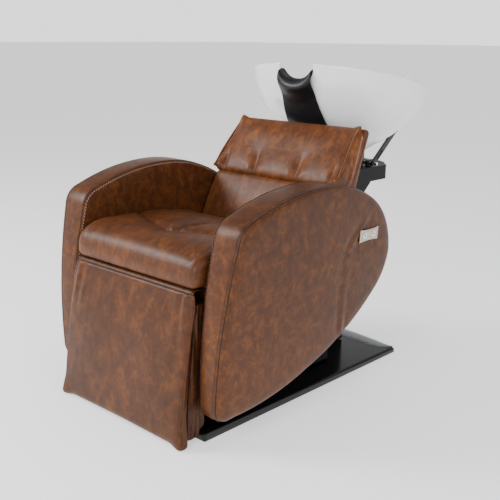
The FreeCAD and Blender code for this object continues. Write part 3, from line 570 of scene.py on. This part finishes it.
def swelled(item, held, cap):
    """Blow the piece up as a stuffed cover.

    held gives, for each point, how firmly it stays, and no point moves further than cap.
    """
    start = points_of(item)
    firm = held(start)
    group = item.vertex_groups.new(name="held")
    for step in range(1, 11):
        chosen = np.nonzero((firm > (step - 1) / 10 + 1e-6) & (firm <= step / 10 + 1e-6))[0]
        if len(chosen):
            group.add([int(index) for index in chosen], step / 10, "REPLACE")
    modifier = item.modifiers.new("cloth", "CLOTH")
    settings = modifier.settings
    settings.quality = 5
    settings.mass = 0.3
    settings.tension_stiffness = 18
    settings.compression_stiffness = 18
    settings.shear_stiffness = 8
    settings.bending_stiffness = 0.6
    settings.use_pressure = True
    settings.uniform_pressure_force = PRESSURE
    settings.effector_weights.gravity = 0
    settings.vertex_group_mass = "held"
    modifier.point_cache.frame_start = 1
    modifier.point_cache.frame_end = FRAMES
    scene = bpy.context.scene
    for step in range(1, FRAMES + 1):
        scene.frame_set(step)
    graph = bpy.context.evaluated_depsgraph_get()
    move = points_of(item.evaluated_get(graph)) - start
    item.modifiers.remove(modifier)
    scene.frame_set(1)
    size = np.linalg.norm(move, axis=1)
    share = np.minimum(1, cap / np.maximum(size, 1e-9))
    set_points(item, start + move * share[:, None])


def falloff(distance, width):
    return np.exp(-(distance / width) ** 2)


def smooth_step(value, low, high):
    share = np.clip((value - low) / (high - low), 0, 1)
    return share * share * (3 - 2 * share)


def firmest(*holds):
    """The strongest of several holds on each point, from 0 to 1."""
    return np.clip(np.maximum.reduce(holds), 0, 1)


def nearest(item):
    """A function that moves points to a piece's surface and gives the normals there."""
    graph = bpy.context.evaluated_depsgraph_get()
    tree = BVHTree.FromObject(item, graph)

    def snap(line, lift):
        places, normals = [], []
        for point in line:
            found, normal, _, _ = tree.find_nearest(Vector(point))
            places.append(np.array(found) + np.array(normal) * lift)
            normals.append(np.array(normal))
        return np.array(places), np.array(normals)

    return snap


# ---------------------------------------------------------------- arms

ARM_COUNT = 220
ARM_CENTRE = np.array([-0.11, 0.36])
SEAM_BACK = 12 * MM      # the outer seam lies this far inside the CAD face, which is the dome's crown
RIDGE = [(97, 525), (62, 483), (31, 439), (20, 327), (27, 209), (60, 150)]

# Rings of an arm as (share of the outline, or inset in mm, and x in mm out from the inner face or
# from the outer seam): the inner panel, its seam, the band, the outer seam and the domed panel.
INNER_PANEL = ((0.03, -6.0), (0.3, -6.0), (0.6, -5.6), (0.8, -5.0), (0.93, -4.4))
INNER_SEAM = ((30, -4.0), (16, -3.4), (9, -2.2), (5, -0.7), (2.8, 1.0), (1.7, 2.4), (2.4, 3.6), (1.4, 4.8),
              (0.1, 6.4), (-0.9, 10), (-1.9, 20))
OUTER_SEAM = ((-2.2, -18), (-1.8, -10), (-1.0, -5), (-0.1, -2.4), (1.5, -1.2), (2.4, -0.2), (1.6, 1.0),
              (1.3, 2.4), (2.4, 4.6), (5, 6.9), (10, 9.1), (18, 10.9), (30, 12.2))
OUTER_PANEL = ((0.93, 12.8), (0.84, 13.6), (0.72, 14.4), (0.60, 15.0), (0.48, 15.4), (0.36, 15.7),
               (0.24, 15.9), (0.12, 16.0), (0.03, 16.0))
PANEL_INSET = 30
BAND_BULGE = -2.6


def end_outline(node, count):
    """The (y, z) outline of a CAD slab's outer face."""
    places = np.array([vertex.co for vertex in frame["nodes"][node].data.vertices])
    edge = places[places[:, 0] > places[:, 0].max() - 0.2 * MM][:, 1:]
    edge = np.unique(edge.round(6), axis=0)
    centre = (edge.min(0) + edge.max(0)) / 2
    order = np.argsort(np.arctan2(edge[:, 1] - centre[1], edge[:, 0] - centre[0]))
    return resampled(edge[order], count)


def outer_face():
    """The CAD arm's outer face: its x at height 0, and how far it leans out per metre."""
    places = np.array([vertex.co for vertex in frame["nodes"]["arm_pad_right"].data.vertices])
    face = places[places[:, 0] < -0.31]
    lean, foot = np.polyfit(face[:, 2], -face[:, 0], 1)
    return foot, lean


def seam_at(ring, face):
    """x of the outer seam beside each point of a (y, z) ring."""
    foot, lean = face
    return foot + lean * ring[:, 1] - SEAM_BACK


def arm_rings(loop, face, inner, plate):
    """Rings of one arm from the middle of its inner side, over its band, to the outer middle."""
    normal = inward(loop)
    rings = []

    def ring_at(inset, share=1.0):
        return ARM_CENTRE + (loop + normal * inset * MM - ARM_CENTRE) * share

    def inner_ring(inset, out, share=1.0):
        ring = ring_at(inset, share)
        rings.append(np.column_stack([np.full(len(ring), inner + out * MM), ring]))

    def outer_ring(inset, out, share=1.0):
        ring = ring_at(inset, share)
        x = seam_at(ring, face) + out * MM
        if out > 11 and plate is not None:
            apart = np.hypot((ring[:, 0] - plate[0]) / 1.5, ring[:, 1] - plate[1])
            flat = smooth_step(apart, 34 * MM, 62 * MM)
            x = (seam_at(ring, face) + 12.2 * MM) * (1 - flat) + x * flat
        rings.append(np.column_stack([x, ring]))

    for share, out in INNER_PANEL:
        inner_ring(PANEL_INSET, out, share)
    for inset, out in INNER_SEAM:
        inner_ring(inset, out)
    near = rings[-1][:, 0]
    ring = ring_at(BAND_BULGE)
    far = seam_at(ring, face) + OUTER_SEAM[0][1] * MM
    for share in (0.33, 0.66):
        rings.append(np.column_stack([near * (1 - share) + far * share, ring]))
    for inset, out in OUTER_SEAM:
        outer_ring(inset, out)
    for share, out in OUTER_PANEL:
        outer_ring(PANEL_INSET, out, share)
    return rings


def raise_ridge(item, side):
    """The soft ridge where the outer panel's leather lies over the frame's rear edge."""
    places = points_of(item)
    x, y, z = places.T
    shift = 0 if side > 0 else random.Random(11).uniform(0.01, 0.03)
    apart = np.full(len(places), 1.0)
    for ridge_y, ridge_z in curve_through(np.array(RIDGE) * MM, 60):
        apart = np.minimum(apart, np.hypot(y - ridge_y - shift, z - ridge_z))
    edge = smooth_step(z, 0.14, 0.24) * (1 - smooth_step(z, 0.48, 0.54))
    lift = 2.6 * MM * falloff(apart, 8 * MM) - 2.2 * MM * falloff(apart - 18 * MM, 14 * MM)
    x += side * np.where(x * side > 0.31, lift * edge, 0)
    set_points(item, places)


def make_arm(side, name, paints, loop, face):
    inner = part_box("arm_lining_left")[0].x
    plate = None
    if side > 0:
        low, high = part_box("switch_plate")
        plate = ((low.y + high.y) / 2, (low.z + high.z) / 2)
    flip = np.array([side, 1, 1])
    rings = [ring * flip for ring in arm_rings(loop, face, inner, plate)]
    item = put(f"arm_cover_{name}", skin(f"arm_cover_{name}", rings), paints["arm"], "root",
               (f"arm_pad_{name}", f"arm_lining_{name}"))
    subdivided(item)
    raise_ridge(item, side)

    normal = inward(loop)
    snap = nearest(item)

    def row(inset, x):
        """A closed line round the arm at an inset in mm, where x gives its place across."""
        ring = loop + normal * inset * MM
        return np.column_stack([np.zeros(len(ring)) + x(ring), ring]) * flip

    def closed_row(inset, x):
        line = row(inset, x)
        return snap(np.vstack([line, line[:1]]), 0.1 * MM)

    # The two near-black tubes below are painted shade: the shadow down in the outer and in the inner seam.
    seam_shade_paint = paints["seam_shade_paint"]
    pipe(f"arm_seam_shade_{name}", row(1.2, lambda ring: seam_at(ring, face) - 0.6 * MM), 0.9, 6, seam_shade_paint,
         closed=True)
    sew(f"arm_topstitch_{name}", *closed_row(-1.5, lambda ring: seam_at(ring, face) - 7.5 * MM),
        (6.0, 3.6, 0.95), paints["thread_dark"])
    pipe(f"arm_inner_seam_shade_{name}", row(0.6, lambda ring: inner + 4.0 * MM), 0.8, 6, seam_shade_paint, closed=True)
    # Pale, thick slanted stitches along each inner seam: real stitching, made pale to stand for the light
    # catching the seam: painted highlight.
    sew(f"arm_inner_stitch_highlight_{name}", *closed_row(6.0, lambda ring: inner - 1.0 * MM), (9.0, 7.0, 0.75),
        paints["pale_thread_and_highlight"], slant=0.45)


def make_arms(paints):
    loop = end_outline("arm_lining_left", ARM_COUNT)
    face = outer_face()
    for side, name in SIDES:
        make_arm(side, name, paints, loop, face)


# ---------------------------------------------------------------- cushions

def block_of(name, outline, half, corner):
    """A closed soft block: a (y, z) outline in mm carried across X, drawn in towards both ends."""
    loop = curve_through(np.array(outline) * MM, 130, True)
    normal = inward(loop)
    half, corner = half * MM, corner * MM
    flat = half - corner
    ends = [(flat + corner * math.sin(share * math.pi / 2), corner * (1 - math.cos(share * math.pi / 2)))
            for share in np.linspace(0.08, 1, 7)]
    steps = [(-x, inset) for x, inset in ends[::-1]]
    steps += [(x, 0.0) for x in np.linspace(-flat, flat, 16)]
    steps += ends
    rings = []
    for x, inset in steps:
        ring = loop + normal * inset * 0.9
        rings.append(np.column_stack([np.full(len(ring), x), ring]))
    return skin(name, rings)


SEAT_OUTLINE = [(-437, 403), (-444, 418), (-440, 455), (-415, 484), (-372, 499), (-300, 500), (-200, 497),
                (-100, 487), (-30, 473), (2, 456), (14, 430), (16, 366), (4, 350), (-120, 348), (-300, 348),
                (-378, 349), (-391, 358), (-393, 388), (-404, 402), (-420, 403)]


SEAT_ROOM = 255.5 * MM       # half the room between the arms
SEAT_FLOOR = 346 * MM        # top of the seat board, with a little to spare
VOXEL = 6 * MM               # mesh size of the cushions before they are blown up


def seat_creases(x, y):
    """Depth in metres of the seat's sewn-down seams: one across, and one back from its middle."""
    across = -0.306 + 0.34 * np.abs(x)
    near_middle = falloff(x, 0.135)
    depth = (7 + 19 * near_middle) * MM * falloff(y - across, 12 * MM)
    back = smooth_step(y, -0.315, -0.295) * (1 - smooth_step(y, -0.20, -0.07))
    depth = np.maximum(depth, 20 * MM * back * falloff(x, 11 * MM))
    return depth + 9 * MM * falloff(np.hypot(x, y + 0.306), 24 * MM)


def make_seat(paints):
    mesh = block_of("seat_leather", SEAT_OUTLINE, 249, 26)
    item = put("seat_leather", mesh, paints["seat"], None, ("seat_cushion",))
    remeshed(item, VOXEL)
    places = points_of(item)
    x, y, z = places.T
    z -= smooth_step(z, 0.43, 0.47) * seat_creases(x, y)
    set_points(item, places)

    def held(points):
        x, y, z = points.T
        firm = smooth_step(seat_creases(x, y) * smooth_step(z, 0.43, 0.46), 9 * MM, 14 * MM)
        low = 1 - smooth_step(z, 0.404, 0.422)
        rear = smooth_step(y, -0.03, 0.005)
        side = 0.9 * smooth_step(np.abs(x), 0.236, 0.246)
        return firmest(firm, low, rear, side)

    swelled(item, held, 24 * MM)
    smoothed(item, 3)
    places = points_of(item)
    places[:, 0] = np.clip(places[:, 0], -SEAT_ROOM, SEAT_ROOM)
    places[:, 2] = np.maximum(places[:, 2], SEAT_FLOOR)
    set_points(item, places)
    finish_cushion(item, "root", paints["seat"])


BACK_OUTLINE = [(32, 392), (32, 430), (46, 470), (71, 520), (97, 568), (109, 583), (140, 583), (146, 572),
                (118, 515), (95, 470), (72, 430), (58, 400), (52, 391)]
PILLOW_OUTLINE = [(120, 580), (109, 587), (113, 606), (134, 637), (154, 664), (176, 694), (196, 722),
                  (214, 743), (226, 748), (233, 738), (216, 700), (186, 650), (160, 600), (150, 584)]
PILLOW_HALF = 248
PILLOW_TAPER = 0.052
PLEATS = (-0.088, 0.078)     # x of the two tucks


def narrowing(z):
    """How far up its taper a point of the pillow is: 0 at the foot, 1 at the top."""
    return smooth_step(z, 0.60, 0.745)


def make_lower_back(paints):
    item = put("back_leather", block_of("back_leather", BACK_OUTLINE, 249, 18), paints["back"], None,
               ("back_cushion",))
    remeshed(item, VOXEL)

    def held(points):
        x, y, z = points.T
        foot = 1 - smooth_step(z, 0.40, 0.43)
        top = smooth_step(z, 0.568, 0.582)
        rear_line = 0.033 + (z - 0.43) * 0.49 + 0.030
        rear = smooth_step(y - rear_line, 0, 0.012)
        side = 0.9 * smooth_step(np.abs(x), 0.238, 0.247)
        return firmest(foot, top, rear, side)

    swelled(item, held, 15 * MM)
    smoothed(item, 3)
    finish_cushion(item, "root", paints["back"])


def make_pillow(paints):
    item = put("pillow_leather", block_of("pillow_leather", PILLOW_OUTLINE, PILLOW_HALF, 9), paints["back"],
               None, ("back_pillow",))
    remeshed(item, VOXEL)
    places = points_of(item)
    x, y, z = places.T
    x *= 1 - PILLOW_TAPER * narrowing(z)
    dent = pleat_depth(places) * pillow_front(places)
    y += dent * 0.8
    z -= dent * 0.3
    set_points(item, places)

    def held(points):
        x, _, z = points.T
        firm = smooth_step(pleat_depth(points) * pillow_front(points), 5 * MM, 9 * MM)
        foot = 1 - smooth_step(z, 0.588, 0.600)
        rear = 1 - pillow_front(points)
        edge = PILLOW_HALF * MM * (1 - PILLOW_TAPER * narrowing(z))
        side = 0.95 * smooth_step(np.abs(x) - edge, -20 * MM, -8 * MM)
        return firmest(firm, foot, rear, side)

    swelled(item, held, 22 * MM)
    smoothed(item, 3)
    finish_cushion(item, "root", paints["back"])
    shape_pillow_corners(item)
    return item


def shape_pillow_corners(item):
    """Two ears at the top, and a tucked fold at each lower corner."""
    places = points_of(item)
    x, y, z = places.T
    reach = np.abs(x)
    ear = smooth_step(reach, 0.208, 0.236) * smooth_step(z, 0.715, 0.750)
    z += ear * 10 * MM
    x += np.sign(x) * ear * 4 * MM
    y -= smooth_step(reach, 0.205, 0.246) * falloff(z - 0.606, 16 * MM) * pillow_front(places) * 9 * MM
    y += falloff(reach - 0.215, 8 * MM) * falloff(z - 0.615, 22 * MM) * pillow_front(places) * 9 * MM
    set_points(item, places)


def pillow_front(points):
    """1 on the pillow's front, 0 on its rear."""
    _, y, z = points.T
    rear_line = 0.154 + (z - 0.588) * 0.505
    return smooth_step(rear_line - y, 6 * MM, 16 * MM)


def pleat_depth(points):
    """Depth of the two tucks that rise from the pillow's lower seam."""
    x, _, z = points.T
    depth = np.zeros(len(points))
    for place in PLEATS:
        lean = (z - 0.60) * 0.10 * np.sign(place)
        fade = 1 - smooth_step(z, 0.60, 0.685)
        depth = np.maximum(depth, 15 * MM * fade * falloff(x - place - lean, 10 * MM))
    return depth


def finish_cushion(item, body, paint):
    """The last steps of every cushion: a rounder mesh, its leather and its body."""
    subdivided(item)
    recoloured(item, paint)
    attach(item, body)


# ---------------------------------------------------------------- rear shell of the back

SHELL_OUTLINE = [(58, 392), (86, 470), (118, 535), (147, 592), (186, 657), (224, 722), (236, 740),
                 (246, 741), (254, 730), (246, 706), (223, 645), (199, 575), (160, 455), (125, 345),
                 (112, 334), (92, 336), (88, 350), (86, 384)]


SHELL_HALF = 247 * MM
SHELL_EDGE = ((14, 0), (6, 0.2), (2.2, 1.2), (0.4, 4), (0, 8))     # (inset, step back from the side) in mm


def make_back_shell(paints):
    loop = curve_through(np.array(SHELL_OUTLINE) * MM, 150, True)
    normal = inward(loop)
    steps = [(inset, -SHELL_HALF + back * MM) for inset, back in SHELL_EDGE]
    steps += [(0, x) for x in np.linspace(-SHELL_HALF + 20 * MM, SHELL_HALF - 20 * MM, 24)]
    steps += [(inset, SHELL_HALF - back * MM) for inset, back in SHELL_EDGE[::-1]]
    rings = []
    for inset, x in steps:
        ring = loop + normal * inset * MM
        rings.append(np.column_stack([np.full(len(ring), x), ring]))
    put("back_shell_leather", skin("back_shell_leather", rings), paints["back"], "root",
        ("back_panel",))


WHIP_LINE = [(150, 566), (165, 591), (190, 650), (210, 706), (221, 731)]
PIPING_LINE = [(98, 600), (112, 614), (132, 642), (156, 672), (184, 704), (206, 728), (222, 746)]


def make_gusset(name, side, paints):
    """The triangle of soft leather between the pillow's piped edge and the whip-stitched seam."""
    front = curve_through(np.array(PIPING_LINE) * MM, 40)
    rear = curve_through(np.array(WHIP_LINE) * MM, 40)
    rings = []
    for share in np.linspace(0, 1, 13):
        row = []
        for index, (near, far) in enumerate(zip(front, rear)):
            y, z = near + (far - near) * share
            edge = (247 - 12 * narrowing(near[1])) * MM
            x = edge * (1 - share) + 247.6 * MM * share
            dip = math.sin(math.pi * share) * (3.0 + 2.4 * math.sin(3 * math.pi * share)) * MM
            wave = 1.2 * MM * math.sin(index * 0.55 + 6 * share) * math.sin(math.pi * share)
            row.append((side * (x - dip + wave), y, z))
        rings.append(row)
    item = put(f"pillow_gusset_{name}", skin(f"pillow_gusset_{name}", rings, False, False),
               paints["gusset"], "root")
    thickened(item, 2 * MM, 0)


def make_back_stitching(paints, pillow):
    """The whip-stitched gusset between pillow and shell, and the pillow's piped edge, on both sides."""
    snap = nearest(pillow)
    for side, name in SIDES:
        make_gusset(name, side, paints)
        whip = curve_through(np.array([(side * 248.6, y, z) for y, z in WHIP_LINE]) * MM, 60)
        normals = np.tile(np.array([side, -0.2, 0.1]), (60, 1))
        sew(f"whip_stitch_{name}", whip, normals, (6.6, 8.5, 1.05), paints["pale_thread_and_highlight"],
            slant=0.8 * side)
        places = [(side * (247.5 - 12 * narrowing(z * MM)), y, z) for y, z in PIPING_LINE]
        edge = curve_through(np.array(places) * MM, 70)
        pipe(f"pillow_piping_{name}", edge, 2.0, 8, paints["back"])
        line, normals = snap(edge[8:] + np.array([-side * 5, -1, 1]) * MM, 0.1 * MM)
        sew(f"pillow_stitch_{name}", line, normals, (5.6, 3.8, 0.7), paints["pale_thread_and_highlight"])


# ---------------------------------------------------------------- legrest

LEGREST_FRONT = [(-442, 399), (-449, 386), (-452.5, 372), (-458.5, 346), (-469, 298), (-479, 240),
                 (-489, 175), (-498, 105), (-504, 50), (-507, 12)]
LEGREST_REAR = [(-478, 8), (-471, 90), (-460, 200), (-450, 300), (-446, 330), (-440, 358), (-439, 380),
                (-438, 396)]


def make_legrest(paints):
    mesh = block_of("legrest_leather", LEGREST_FRONT + LEGREST_REAR, 247, 9)
    item = put("legrest_leather", mesh, paints["legrest"], None, ("legrest_pad",))
    remeshed(item, VOXEL)
    rear_y, rear_z = np.array(LEGREST_REAR).T * MM

    def front_share(points):
        return smooth_step(np.interp(points[:, 2], rear_z, rear_y) - points[:, 1], 5 * MM, 12 * MM)

    def held(points):
        rear = 1 - front_share(points)
        side = 0.9 * smooth_step(np.abs(points[:, 0]), 0.232, 0.243)
        top = smooth_step(points[:, 2], 0.350, 0.382)
        foot = 1 - smooth_step(points[:, 2], 0.014, 0.032)
        return firmest(rear, side, top, foot)

    swelled(item, held, 14 * MM)
    smoothed(item, 3)
    shape_legrest(item, front_share)
    finish_cushion(item, "legrest", paints["legrest"])
    make_legrest_seams(item, paints)


def shape_legrest(item, front_share):
    """Folds at the upper corners, flared lower corners and a hem that hangs in a shallow arch."""
    places = points_of(item)
    x, y, z = places.T
    reach = np.abs(x)
    front = front_share(places)
    down = smooth_step(z, 0.22, 0.385)
    folds = 3.4 * MM * np.sin(reach * 2 * math.pi / (34 * MM) + 2.0 * down)
    y += front * smooth_step(reach, 0.150, 0.238) * down * folds
    x -= np.sign(x) * smooth_step(z, 0.355, 0.398) * smooth_step(reach, 0.20, 0.247) * 6 * MM
    flare = smooth_step(reach, 0.205, 0.247) * (1 - smooth_step(z, 0.010, 0.080))
    z -= flare * 9 * MM
    y -= flare * 5 * MM * front
    x += np.sign(x) * flare * 8 * MM
    z += falloff(x, 0.17) * (1 - smooth_step(z, 0.02, 0.07)) * 3 * MM
    z[:] = np.maximum(z, 2 * MM)
    set_points(item, places)


def make_legrest_seams(item, paints):
    snap = nearest(item)
    for side, name in SIDES:
        line = curve_through(np.array([(side * 246, y + 9, z) for y, z in LEGREST_FRONT]) * MM, 90)
        line, normals = snap(line, 0.9 * MM)
        pipe(f"legrest_piping_{name}", line, 2.4, 8, paints["legrest"], "legrest")
        line, normals = snap(line + np.array([-side * 9, -3, 0]) * MM, 0.05 * MM)
        sew(f"legrest_stitch_{name}", line, normals, (6, 4, 0.55), paints["thread_dark"], "legrest")


BOX_OUTLINE = [(-405, 322), (-405, 366), (-436, 367), (-437, 352), (-445, 325), (-455, 230), (-466, 120),
               (-474, 14), (-460, 11), (-436, 13), (-434, 28), (-418, 34), (-413, 46), (-409, 180)]
BOX_HALF = 243 * MM
BOX_SIDE = ((0.42, 0.0), (0.22, 0.0), (0.10, 0.0), (0.04, 0.6), (0.012, 2.0), (0, 5.0))
BOX_CENTRE = np.array([-0.436, 0.19])


def make_legrest_box(paints):
    """The leather-covered box behind the pad; its sides hang in shallow upright folds."""
    loop = resampled(np.array(BOX_OUTLINE) * MM, 160)
    rings = []
    for share, drop in BOX_SIDE:
        ring = loop + (BOX_CENTRE - loop) * share * np.array([1.0, 0.25])
        fold = 2.6 * MM * np.sin((ring[:, 0] + 0.405) * 2 * math.pi / (17 * MM)) * (drop == 0)
        rings.append(np.column_stack([-(BOX_HALF - drop * MM + fold), ring]))
    middle = [np.column_stack([np.full(len(loop), x), loop])
              for x in np.linspace(-BOX_HALF + 12 * MM, BOX_HALF - 12 * MM, 16)]
    mirrored = [ring * np.array([-1, 1, 1]) for ring in rings[::-1]]
    # The box takes the darker copy of the leather: painted shade behind the pad and under the seat.
    put("legrest_box_leather", skin("legrest_box_leather", rings + middle + mirrored), paints["inner"],
        "legrest", ("legrest_box",))


FLAP_ROWS = [(-398, 400.5), (-420, 401), (-434, 400.5), (-440, 398), (-442.5, 393), (-443, 387), (-442, 380)]
FLAP_HALF = 238 * MM


def make_flap(paints):
    """The strip of leather that closes the gap between the seat's lip and the legrest's top."""
    rings = [[np.array([x, y * MM, z * MM]) for x in np.linspace(-FLAP_HALF, FLAP_HALF, 40)]
             for y, z in FLAP_ROWS]
    # The strip takes the darker copy of the leather: painted shade in the gap under the seat's lip.
    item = put("legrest_flap", skin("legrest_flap", rings, False, False), paints["inner"])
    thickened(item, 1.2 * MM, -1)
    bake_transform(item)


# ---------------------------------------------------------------- base

BASE_CORNER = 0.430          # y where the straight sides end and the bowed rear begins
BASE_REAR_TOP = 16 * MM
BASE_EDGE = ((0, 4), (0.3, 2.6), (1.5, 0.9), (3.5, 0), (12, 0), (60, 0), (140, 0))     # (inset, drop) in mm
LIP_CREASE = [(0, 395), (108, 395), (146, 396), (185, 391), (219, 399), (242, 423), (251, 441)]
LIP_PROFILE = ((0, 0.3), (0.06, 1.6), (0.3, 2.2), (0.7, 2.0), (0.94, 1.2), (1.0, -1.5))


def base_top(y, low, high):
    """Height of the base's sloping top at y."""
    return high.z + (BASE_REAR_TOP - high.z) * (y - low.y) / (high.y - low.y)


def make_base(paints):
    low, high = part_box("base_cover")

    def plan(inset):
        """The base's outline at an inset: straight sides, bowed rear."""
        side = high.x - inset
        corner = BASE_CORNER - inset
        points = [(side, low.y + inset), (side, corner)]
        for x in side * (1 - 2 * np.linspace(0, 1, 41)):
            points.append((x, corner + (high.y - BASE_CORNER) * (1 - (x / side) ** 2)))
        points += [(-side, corner), (-side, low.y + inset)]
        return resampled(points, 320)

    rings = []
    for inset, rise in ((0.5, 0), (0, 2)):
        ring = plan(inset * MM)
        rings.append(np.column_stack([ring, np.full(len(ring), low.z + rise * MM)]))
    for inset, drop in BASE_EDGE:
        ring = plan(inset * MM)
        rings.append(np.column_stack([ring, base_top(ring[:, 1], low, high) - drop * MM]))
    put("base_shell", skin("base_shell", rings), paints["base_gloss"], "root",
        ("base_cover",))


def make_base_lip(paints):
    """The raised satin lip along the base's rear edge: its front edge curves in from the corners."""
    low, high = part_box("base_cover")
    left = curve_through(np.array(LIP_CREASE) * MM, 40)
    whole = np.vstack([left[::-1] * np.array([-1, 1]), left[1:]])
    rows = []
    for share, lift in LIP_PROFILE:
        row = []
        for x, y in whole:
            edge = BASE_CORNER + (high.y - BASE_CORNER) * (1 - (x / high.x) ** 2) - 2.5 * MM
            place = y + (edge - y) * share
            row.append((x, place, base_top(place, low, high) + lift * MM))
        rows.append(row)
    put("base_rear_lip", skin("base_rear_lip", rows, False, False), paints["lip"], "root")


# ---------------------------------------------------------------- bowl and neck rest

def make_bowl(paints):
    """The glazed bowl: the CAD shell with every edge softened as slip-cast ceramic is."""
    item = put("bowl_glazed", frame["nodes"]["bowl"].data.copy(), paints["ceramic"], None,
               ("bowl",))
    remeshed(item, 3.2 * MM)
    smoothed(item, 8)
    recoloured(item, paints["ceramic"])
    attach(item, "bowl")


BOWL_HALF_WIDTH = 306 * MM
BOWL_HALF_DEPTH = 216 * MM
BOWL_CENTRE = 416 * MM
BOWL_SLOPE = 0.239           # how much the rim rises towards the front
BOWL_RIM = 928 * MM - BOWL_HALF_DEPTH * BOWL_SLOPE
BOWL_APEX = 599 * MM


def bowl_front(x, z):
    """y of the bowl's outer front surface at a place across and a height."""
    low, high = 0.0, 0.95
    for _ in range(30):
        depth = (low + high) / 2
        spread = (1 - depth ** 2.1) ** 1.055
        share = math.sqrt(max(0.0, 1 - (x / (BOWL_HALF_WIDTH * spread)) ** 2))
        reach = BOWL_HALF_DEPTH * spread * share
        height = BOWL_RIM + (BOWL_APEX - BOWL_RIM) * depth + BOWL_SLOPE * (1 - depth) * reach
        if height > z:
            low = depth
        else:
            high = depth
    return BOWL_CENTRE + 7 * MM * depth - reach


NECK_TOP = 877       # heights in mm: the middle of the roll, its underside and the bib's hem
NECK_HORN = 30       # how far the horns rise above the middle
NECK_ROLL = 806
NECK_BIB = 737


def make_neck_rest(paints):
    """The rubber neck rest: a padded roll in the cut-out with two horns, and a bib below it."""
    rows = []
    for share in np.linspace(-1, 1, 41):
        reach = abs(share)
        top = (NECK_TOP + NECK_HORN * reach ** 2.4) * MM
        roll_low = (NECK_ROLL + 14 * share ** 2) * MM
        thick = 1 - 0.35 * share ** 2
        wall = bowl_front(62 * MM * share, min(top, 0.915))
        bib_top = bowl_front(67 * MM * share, roll_low)
        rim = [
            (55 * MM * share, wall + 28 * MM, top - 24 * MM),
            (58 * MM * share, wall + 23 * MM, top - 7 * MM),
            (60 * MM * share, wall + 15 * MM, top + 2 * MM),
            (61.5 * MM * share, wall + 4 * MM, top + 2 * MM),
            (64 * MM * share, wall - 9 * MM, top - 6 * MM),
            (66 * MM * share, wall - 17 * MM * thick, top * 0.60 + roll_low * 0.40),
            (67 * MM * share, bib_top - 16 * MM * thick, roll_low + 13 * MM),
            (67.5 * MM * share, bib_top - 5 * MM, roll_low - 1 * MM),
        ]
        for drop in (0.12, 0.35, 0.6, 0.82, 1.0):
            z = roll_low + (NECK_BIB * MM - roll_low) * drop
            x = (67.5 + 12.5 * drop) * MM * share
            rim.append((x, bowl_front(x, z) - (4.5 + 9 * drop) * MM, z))
        rows.append(curve_through(rim, 56))
    mesh = skin("neck_rest_rubber", rows, False, False)
    item = put("neck_rest_rubber", mesh, paints["neck_rubber"], None, ("neck_rest",))
    thickened(item, 3.2 * MM, -1)
    subdivided(item)
    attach(item, "bowl")


# ---------------------------------------------------------------- switch

ARROW = [(-3.4, -2.0), (3.4, -2.0), (0, 3.6)]


def make_switch_marks(paints):
    """A plain arrow on each button, raised from its face."""
    lean = outer_face()[1]
    out = np.array([1.0, 0.0, -lean])
    out /= np.linalg.norm(out)
    up = np.array([lean, 0.0, 1.0])
    up /= np.linalg.norm(up)
    along = np.array([0.0, 1.0, 0.0])
    for node, turn in (("button_down", -1), ("button_up", 1)):
        low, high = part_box(node)
        centre = np.array([high.x, (low.y + high.y) / 2, (low.z + high.z) / 2])
        centre = centre - out * 0.75 * MM
        rings = [[centre + (along * u + up * v * turn) * MM + out * lift * MM for u, v in ARROW]
                 for lift in (0.0, 0.5)]
        put(f"{node}_arrow", skin(f"{node}_arrow", rings), paints["black_plastic"], node,
            smooth=False)


# ---------------------------------------------------------------- CAD nodes that stay

SOFT_EDGES = {               # width of the softened edges in mm
    "column_shelf": 3.0, "column_cover": 2.0, "shelf_underside": 0.6, "switch_plate": 0.7,
    "button_down": 0.9, "button_up": 0.9, "mixer_body": 1.2, "mixer_cap": 2.0, "mixer_lever": 1.4,
    "shower_holder": 1.0, "hand_shower": 1.5, "drain_fitting": 0.5, "drain_strainer": 0.6,
    "tilt_arms": 0.5, "bowl_cradle": 0.8, "tilt_stands": 0.8, "side_skirts": 0.8, "front_skirt": 0.8,
    "rear_skirt": 0.8, "service_door": 0.8, "drive_gearbox": 2.0, "power_supply": 2.0,
    "hinge_arms": 0.6, "hinge_leaves": 0.6, "cable_gland": 0.8, "water_inlets": 0.8,
}


def dress_nodes(paints):
    """Give every CAD node its slot's material, and the listed nodes that still show softened edges."""
    slot_of = {part["node"]: part["material_slot"] for part in frame["record"]["subparts"]}
    for name, item in frame["nodes"].items():
        item.data.materials.clear()
        item.data.materials.append(paints[slot_of[name]])
        if name in SOFT_EDGES and not item.hide_render:
            weld = item.modifiers.new("weld", "WELD")
            weld.merge_threshold = 0.01 * MM
            edge = item.modifiers.new("edges", "BEVEL")
            edge.width = SOFT_EDGES[name] * MM
            edge.segments = 2
            edge.limit_method = "ANGLE"
            edge.angle_limit = math.radians(40)
            edge.harden_normals = False
            edge.use_clamp_overlap = True


def main():
    make_camera()
    make_studio()
    paints = make_paints()
    make_arms(paints)
    make_seat(paints)
    make_lower_back(paints)
    pillow = make_pillow(paints)
    make_back_shell(paints)
    make_back_stitching(paints, pillow)
    make_legrest(paints)
    make_legrest_box(paints)
    make_flap(paints)
    make_base(paints)
    make_base_lip(paints)
    make_bowl(paints)
    make_neck_rest(paints)
    make_switch_marks(paints)
    dress_nodes(paints)


main()
